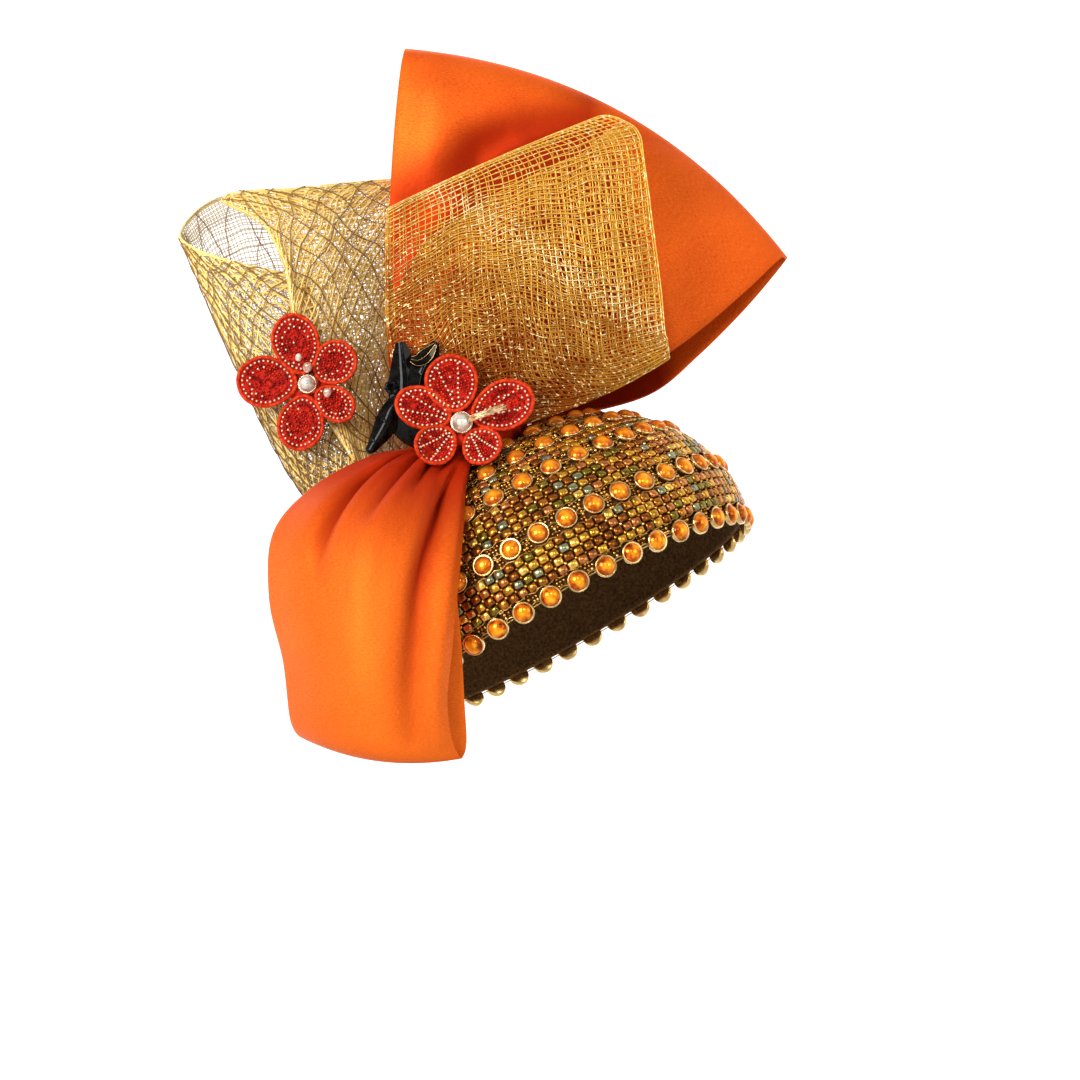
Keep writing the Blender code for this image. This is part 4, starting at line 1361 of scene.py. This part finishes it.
for first, last, wide, brown_gap, top, seed in PARTS:
    for slant, over in ((LACE_SLANT, 0.0003), (-LACE_SLANT, 0.0)):
        lace_lines += cone_diagonals(
            LACE_SPACING * wide, first, last, slant, over, 1.2, seed, top, 36)
        brown_lines += cone_diagonals(
            brown_gap, first, last, slant * 1.1, over + 0.0011, 1.6, seed + 5, top)
    if top == 1.0:
        lace_lines += cone_rounds(LACE_SPACING * wide * 1.3, first, last, 0.10, 0.0002, 1.0, seed)
for slant in (0.12, -0.30):
    brown_lines += cone_diagonals(0.016, BACK_FROM, BACK_END, slant, -0.0014, 1.6, 43)
PALE_FROM, GOLDEN_TO = 0.42, 0.43             # shares where one fine mesh gives way to the other
pale_lines = cone_risers(PALE_SPACING, PALE_FROM, 1.0, -0.0004, 0.4, 35)
pale_lines += cone_rounds(PALE_SPACING, PALE_FROM, 1.0, 0.20, -0.0005, 0.4, 36)
golden_lines = cone_risers(PALE_SPACING, PANEL_FROM, GOLDEN_TO, -0.0009, 0.4, 39, steps=26)
golden_lines += cone_rounds(PALE_SPACING, PANEL_FROM, GOLDEN_TO, 0.10, -0.0010, 0.4, 40)
golden_lines += cone_risers(PALE_SPACING, 0.0, PANEL_FROM, -0.0009, 0.4, 37, STRIP_TO, 26)
golden_lines += cone_rounds(PALE_SPACING, 0.0, PANEL_FROM, 0.10, -0.0010, 0.4, 38, STRIP_TO)
mouth = np.linspace(PANEL_FROM, 1, 200)
lace_lines += [
    on_place(cone_points, 1.0 - lower, mouth) + on_place(cone_normals, 1.0, mouth) * lift
    for lower, lift in ((0.0, 0.0), (0.006, 0.0004))]
side = np.linspace(0.25, 1, 70)
for share in (PANEL_FROM, BACK_FROM, BACK_END, 1.0):
    lace_lines.append(on_share(cone_points, side, share))
for first, last, top in ((0.0, PANEL_FROM, STRIP_TO), (BACK_FROM, BACK_END, BACK_TO)):
    hem = np.linspace(first, last, round(120 * (last - first)))
    lace_lines += [on_place(cone_points, top - lower, hem) for lower in (0.0, 0.008)]

nets = [threads(lines, radius) for lines, radius in (
    (lace_lines, LACE_THREAD), (pale_lines, PALE_THREAD), (brown_lines, BROWN_THREAD),
    (golden_lines, GOLDEN_THREAD))]
UP = (0.0, 0.0, 1.0)
GLINT = (1.0, 0.92, 0.66)
tones = (
    thread_material(
        "pale gold thread", Tone(UP, 0.02, 0.16, ((0.70, 0.43, 0.08), (0.98, 0.70, 0.20))),
        90.0, 0.60, GLINT, 0.15, 0.42),
    thread_material(
        "white thread", Tone(UP, 0.0, 0.2, ((0.44, 0.32, 0.15), (0.54, 0.43, 0.25))),
        40.0, 0.70, (0.9, 0.85, 0.7), 0.0, 0.6),
    thread_material(
        "brown thread", Tone(UP, 0.0, 0.2, ((0.14, 0.065, 0.014), (0.28, 0.145, 0.035))),
        120.0, 0.70, (0.75, 0.50, 0.20), 0.1, 0.5),
    thread_material(
        "fine golden thread", Tone(UP, 0.02, 0.18, ((0.66, 0.37, 0.05), (0.92, 0.60, 0.15))),
        90.0, 0.62, GLINT, 0.15, 0.5))
for name, net, tone in zip(("lace", "pale", "brown", "golden"), nets, tones):
    finish_piece(net, "cone_" + name, [tone], ["net_cone"])
print("cone sheet", round(area_of(cone_points), 4), "m2")

# %% [markdown]
# ## The flowers
# Each petal is red cloth, cupped and sewn over with beads. A disc primitive gives the petal: its
# rings are inset towards the middle and then laid on the same curve as the solid. A red cord runs
# round the edge, a row of white beads just inside it, and rows of red beads fill the rest.

# %% Model the petals, their cords and beads
Petal = namedtuple("Petal", "degrees reach half_width lift")
Flower = namedtuple("Flower", "name seat facing hub_radius hub_height pearl petals")
FLOWERS = (
    Flower("flower_upper", (-0.1155, -0.00689, 0.1020), (-0.10, -1.0, 0.05), 0.0050, 0.0034,
           0.0037, (
               Petal(106, 0.0310, 0.0097, 0.0030), Petal(37, 0.0248, 0.0088, 0.0034),
               Petal(-35, 0.0243, 0.0068, 0.0030), Petal(-99, 0.0290, 0.0096, 0.0026),
               Petal(177, 0.0305, 0.0105, 0.0032))),
    Flower("flower_lower", (-0.0480, -0.04902, 0.0830), (0.05, -1.0, 0.10), 0.0052, 0.0080,
           0.0042, (
               Petal(104, 0.0285, 0.0105, 0.0050), Petal(160, 0.0290, 0.0082, 0.0034),
               Petal(-138, 0.0235, 0.0080, 0.0090), Petal(-50, 0.0205, 0.0080, 0.0050),
               Petal(22, 0.0320, 0.0098, 0.0044))))
PETAL_NECK = 0.78
PETAL_FULLER = 1.07
PETAL_WALL = 0.0012
PETAL_STEPS = 48
PETAL_RINGS = 8
CORD_RADIUS = 0.0008
BEAD_RADIUS = 0.00055
WHITE_RING, WHITE_PITCH, WHITE_LIFT = 0.85, 0.0020, 0.0015
RED_RINGS = (0.69, 0.55, 0.41, 0.27, 0.12)
RED_PITCH, RED_LIFT, RED_STRAY = 0.00125, 0.0013, 0.00018
RED_LEFT_OUT = 0.12           # the share of red beads that are missing
WHITE_TINT = 0.9              # tints from here on are white
PINCH_FROM, PINCH_TO = -0.72, 0.66            # how far along a petal its pinched rows run
ARC_RING, ARC_REACH = 0.60, 1.35              # the inner row of the upper flower's petals
PETAL_RIPPLE = 0.0007
BASE_PROFILE = (              # radius, and height against the petals' underside
    (0.0080, -0.0022), (0.0096, -0.0017), (0.0098, -0.0011), (0.0084, -0.0007), (0.0040, -0.0006))


def flower_frame(flower):
    out = Vector(flower.facing).normalized()
    side = Vector((0, 0, 1)).cross(out).normalized()
    seat = Matrix((side, out.cross(side), out)).transposed().to_4x4()
    seat.translation = flower.seat
    return seat


def petal_frame(flower, petal):
    return flower_frame(flower) @ Matrix.Rotation(radians(petal.degrees), 4, "Z")


def petal_point(flower, petal, share, angle, lift=0.0):
    """A point of a petal in its flower's frame before the turn: share 1 is the edge."""
    inner = flower.hub_radius + GAP
    middle, half_length = (inner + petal.reach) / 2, (petal.reach - inner) / 2
    towards_hub = (1 - cos(angle)) / 2
    width = petal.half_width * PETAL_FULLER * (1 - (1 - PETAL_NECK) * towards_hub ** 2)
    x = middle + share * half_length * cos(angle)
    y = share * width * sin(angle)
    rise = petal.lift * share ** 2 * (1 - towards_hub)
    fold = PETAL_RIPPLE * share * sin(5 * angle + radians(petal.degrees)) * (1 - 0.5 * towards_hub)
    return Vector((x, y, flower.hub_height - PETAL_WALL + rise + fold + lift))


def petal_sheet(flower, petal):
    """A disc with inset rings, laid on the petal's curve and given its wall."""
    sheet = add_disc(PETAL_STEPS, 1)
    start_edit()
    for ring in range(PETAL_RINGS - 1):
        bpy.ops.mesh.inset(thickness=1 / PETAL_RINGS, use_even_offset=False)
    bpy.ops.mesh.poke()
    end_edit()
    for vertex in sheet.data.vertices:
        share = min(1.0, vertex.co.xy.length)
        angle = float(np.arctan2(vertex.co.y, vertex.co.x))
        vertex.co = petal_point(flower, petal, share, angle)
    add_wall(sheet, PETAL_WALL * 0.8, 1.0)
    sheet.data.transform(petal_frame(flower, petal))
    return sheet


def ring_places(flower, petal, share, pitch):
    """Angles of beads at an even pitch round a petal's ring."""
    fine = np.linspace(0, tau, 240)
    points = np.array([petal_point(flower, petal, share, a) for a in fine])
    run = lengths_along(points)
    count = max(3, round(run[-1] / pitch))
    return [float(np.interp(run[-1] * k / count, run, fine)) for k in range(count)]


red_cloth = mottled(
    "red petal cloth", (0.45, 0.010, 0.004), 420.0, (0.32, 0.10, 0.002, 0.001),
    (0.52, 0.38, 0.008, 0.003), (0.72, 0.62, 0.025, 0.008), detail=3.0, bump=(0.6, 0.0005),
    Roughness=0.7, Specular_IOR_Level=0.1)
red_cord = mottled(
    "red cord", (0.70, 0.05, 0.010), 700.0, (0.35, 0.38, 0.012, 0.002),
    (0.65, 0.74, 0.055, 0.006), Roughness=0.5, Specular_IOR_Level=0.12)
petal_beads = tinted(
    "petal beads", (0.6, 0.03, 0.01), (0.0, 0.26, 0.004, 0.001), (0.34, 0.56, 0.014, 0.002),
    (0.70, 0.70, 0.045, 0.005), (0.87, 0.90, 0.68, 0.46), Roughness=0.25,
    Specular_IOR_Level=0.3, Metallic=0.3)

random = Random(17)
for flower in FLOWERS:
    level = flower.hub_height - PETAL_WALL
    base = turned([(radius, level + rise) for radius, rise in BASE_PROFILE], 40)
    base.data.transform(flower_frame(flower))
    bpy.ops.object.shade_smooth()
    finish_piece(base, flower.name + "_base", [red_cloth])
    cords, white_seats, red_seats = [], [], []
    for number, petal in enumerate(flower.petals, 1):
        sheet = petal_sheet(flower, petal)
        name = "%s_petal_%d" % (flower.name, number)
        finish_piece(sheet, name + "_cloth", [red_cloth], [name])
        place = petal_frame(flower, petal)
        cords.append([
            place @ petal_point(flower, petal, 1.0, angle, CORD_RADIUS)
            for angle in np.linspace(0, tau, 73)])
        spots = [(WHITE_RING, angle, WHITE_LIFT)
                 for angle in ring_places(flower, petal, WHITE_RING, WHITE_PITCH)]
        if flower.name == "flower_lower":
            for run in np.linspace(PINCH_FROM, PINCH_TO, 9):
                for side in (-1, 1):
                    across = side * (0.12 + 0.20 * (run - PINCH_FROM))
                    spots.append((sqrt(run * run + across * across),
                                  float(np.arctan2(across, run)), 0.0019))
        else:
            spots += [
                (ARC_RING, angle, 0.0018) for angle in np.linspace(-ARC_REACH, ARC_REACH, 8)]
        white_seats += [
            place @ Matrix.Translation(petal_point(flower, petal, *spot)) for spot in spots]
        for share in RED_RINGS:
            for angle in ring_places(flower, petal, share, RED_PITCH):
                if random.random() < RED_LEFT_OUT:
                    continue
                point = petal_point(flower, petal, share, angle, RED_LIFT)
                point += Vector(scatter(random, RED_STRAY))
                red_seats.append(place @ Matrix.Translation(point))
    finish_piece(threads(cords, CORD_RADIUS, 8), flower.name + "_cord", [red_cord])
    tints = [WHITE_TINT] * len(white_seats) + [random.uniform(0, WHITE_TINT) for _ in red_seats]
    beads = stamp(add_ball(6, 4, BEAD_RADIUS), white_seats + red_seats, tints)
    finish_piece(beads, flower.name + "_beads", [petal_beads])

# %% [markdown]
# The middle of each flower is a silver dome in a beaded cup. The cup is turned like the stones'
# settings, and the dome on it is a pearl-like glass with a bright top.

# %% Model the flowers' middles
silver = mottled(
    "silver cup", (0.78, 0.68, 0.50), 500.0, (0.3, 0.45, 0.33, 0.18), (0.7, 0.92, 0.84, 0.66),
    Metallic=1.0, Roughness=0.25)
pearl = mottled(
    "pearl dome", (0.85, 0.82, 0.76), 260.0, (0.35, 0.36, 0.32, 0.22), (0.65, 0.95, 0.90, 0.78),
    Metallic=0.35, Roughness=0.12, Coat_Weight=1.0)
CUP_PROFILE = ((0.9, 0.0), (1.0, 0.2), (1.0, 0.85), (0.97, 1.0))      # shares of the hub's sizes
DOME_PROFILE = (              # a share of the pearl's radius, and the height above the hub
    (1.14, 0.0006), (1.12, 0.0014), (1.02, 0.0016), (0.98, 0.0012), (0.96, 0.0022),
    (0.86, 0.0036), (0.66, 0.0048), (0.40, 0.0056), (0.08, 0.0059))

for flower in FLOWERS:
    size, height = flower.pearl, flower.hub_height
    middle = turned(
        [(flower.hub_radius * share, height * part) for share, part in CUP_PROFILE]
        + [(size * share, height + rise) for share, rise in DOME_PROFILE], 28)
    for polygon in middle.data.polygons:
        centre = polygon.center
        polygon.material_index = centre.z > height + 0.0015 and centre.xy.length < size * 0.99
    middle.data.transform(flower_frame(flower))
    bpy.ops.object.shade_smooth()
    finish_piece(
        middle, flower.name + "_middle", [silver, pearl],
        [flower.name + "_hub", flower.name + "_pearl"])

# %% [markdown]
# The upper flower also carries three small clear drops beside its middle, and a champagne tuft of
# fine thread lies beside the lower flower's. Both are small, but they break up the red.

# %% Add the drops and the tuft
crystal = mottled(
    "clear drop", (0.80, 0.55, 0.42), 380.0, (0.35, 0.50, 0.20, 0.12), (0.65, 0.92, 0.80, 0.68),
    Metallic=0.35, Roughness=0.1, Coat_Weight=0.5)
DROPS = [
    # x, y, z, radius
    (-0.1157, -0.0150, 0.1093, 0.0020), (-0.1196, -0.0148, 0.1136, 0.0015),
    (-0.1070, -0.0148, 0.0982, 0.0018)]
seats = [Matrix.LocRotScale(Vector(spot[:3]), Euler((0.3, 0.2, 0.0)),
                            Vector((spot[3], spot[3] * 0.8, spot[3] * 1.2))) for spot in DROPS]
finish_piece(stamp(add_ball(16, 10), seats), "flower_upper_drops", [crystal])

champagne = mottled(
    "champagne thread", (0.85, 0.55, 0.25), 600.0, (0.4, 0.60, 0.30, 0.10),
    (0.6, 0.95, 0.75, 0.45), Metallic=0.5, Roughness=0.3)
random = Random(29)
TUFT_FROM, TUFT_TO = Vector((-0.0440, -0.0625, 0.0850)), Vector((-0.0290, -0.0625, 0.0905))
TUFT_THREADS, TUFT_SPREAD, TUFT_THREAD = 26, 0.0012, 0.00016
tuft_lines = []
for _ in range(TUFT_THREADS):
    line = [TUFT_FROM, TUFT_FROM.lerp(TUFT_TO, 0.5), TUFT_TO]
    line = [point + Vector(scatter(random, TUFT_SPREAD)) for point in line]
    line[1].y -= TUFT_SPREAD
    tuft_lines.append([along(line, k / 8) for k in range(9)])
finish_piece(threads(tuft_lines, TUFT_THREAD), "flower_lower_tuft", [champagne])

# %% [markdown]
# ## The black leaf
# A small spray of black lacquered leaves sits behind the lower flower. The upper leaf is two
# blades and a folded flap with gold lines, and the stem with its buds curls down to the left. The
# blades are grids laid on short tables, as the solids are, only finer.

# %% Model the leaves
LeafRow = namedtuple("LeafRow", "x z half_width")
LEAF_DEPTH = -0.0497
Leaf = namedtuple("Leaf", "forward fold")     # metres in front of the spray, and a share
LEAVES = [
    Leaf(0.0, 0.5), Leaf(0.0012, 0.7), Leaf(0.0028, -0.4), Leaf(0.0006, 0.4), Leaf(0.0016, 0.6)]
ROWS_EACH = 4
LEAF_ROWS = table(LeafRow, """
    -0.069 0.08 0.0046
    -0.0718 0.0925 0.0048
    -0.0722 0.104 0.0046
    -0.0738 0.1182 0.0012
    -0.064 0.079 0.004
    -0.066 0.092 0.0058
    -0.0645 0.1045 0.0056
    -0.0585 0.1182 0.0006
    -0.0695 0.111 0.0008
    -0.066 0.1105 0.0022
    -0.0622 0.113 0.0024
    -0.0586 0.1176 0.0005
    -0.0615 0.077 0.0045
    -0.069 0.0835 0.0062
    -0.074 0.0915 0.0044
    -0.0755 0.0985 0.0008
    -0.0735 0.0955 0.001
    -0.0775 0.089 0.003
    -0.0805 0.082 0.0032
    -0.0866 0.072 0.001
""", 1)                      # these rows are in metres
LEAF_ACROSS, LEAF_STEPS = 10, 40
LEAF_THICK = 0.0024
LEAF_FULLER = 1.3
GOLD_LINED = 2                # the folded flap at the upper leaf's tip
CURL_MIDDLE, CURL_RADIUS = Vector((-0.0776, -0.0512, 0.0990)), 0.0021
STEM_RADIUS, BUD_RADIUS, VEIN_RADIUS = 0.00095, 0.0012, 0.00018


def leaf_grid(leaf, rows):
    places = [Vector((row.x, LEAF_DEPTH - leaf.forward, row.z)) for row in rows]
    widths = [Vector((row.half_width * LEAF_FULLER, 0, 0)) for row in rows]
    lines = []
    for step in range(LEAF_STEPS + 1):
        place = step / LEAF_STEPS
        tangent = along(places, min(place + 0.01, 1)) - along(places, max(place - 0.01, 0))
        side = Vector((tangent.z, 0, -tangent.x)).normalized()
        width = along(widths, place).x
        line = []
        for k in range(LEAF_ACROSS + 1):
            across = 2 * k / LEAF_ACROSS - 1
            point = along(places, place) + side * width * across
            point.y += width * leaf.fold * (abs(across) - 0.5)
            line.append(point)
        lines.append(line)
    return np.array(lines)


black = mottled(
    "black lacquer", (0.003, 0.003, 0.003), 300.0, (0.4, 0.001, 0.001, 0.001),
    (0.75, 0.010, 0.008, 0.006), detail=3.0, bump=(0.2, 0.0004), Roughness=0.10,
    Specular_IOR_Level=0.12)
grids = [leaf_grid(leaf, LEAF_ROWS[number * ROWS_EACH:(number + 1) * ROWS_EACH])
         for number, leaf in enumerate(LEAVES)]
for number, grid in enumerate(grids, 1):
    blade = lay_grid(grid)
    add_wall(blade, LEAF_THICK, 0, 0.0009, 3)
    finish_piece(blade, "leaf_blade_%d" % number, [black], ["leaf_spray"])
vein = np.linspace(0.05, 0.97, 40)
vein_lines = [
    on_share(grids[GOLD_LINED], vein, share) - (0, LEAF_THICK / 2, 0)
    for share in (0.06, 0.5, 0.94)]
finish_piece(threads(vein_lines, VEIN_RADIUS, 6), "leaf_veins", [wire_gold])

curl = [CURL_MIDDLE + Vector((cos(turn), 0, sin(turn))) * CURL_RADIUS
        for turn in (tau * 0.95 * k / 30 for k in range(31))]
stem = [Vector(spot) for spot in (
    (-0.0757, -0.0512, 0.0975), (-0.0740, -0.0508, 0.0930), (-0.0762, -0.0512, 0.0880),
    (-0.0800, -0.0512, 0.0845), (-0.0830, -0.0510, 0.0790), (-0.0868, -0.0506, 0.0725))]
stem_line = [along(stem, k / 40) for k in range(41)]
stems = threads([curl, stem_line], STEM_RADIUS, 10)
finish_piece(stems, "leaf_stem", [black])
buds = [Matrix.Translation(along(stem, place)) @ Matrix.Scale(size, 4) for place, size in (
    (0.02, 1.5), (0.30, 1.9), (0.46, 1.5), (0.60, 2.0), (0.74, 1.6), (0.88, 1.9), (1.0, 1.6))]
buds = stamp(add_ball(16, 10, BUD_RADIUS), buds)
finish_piece(buds, "leaf_buds", [black])
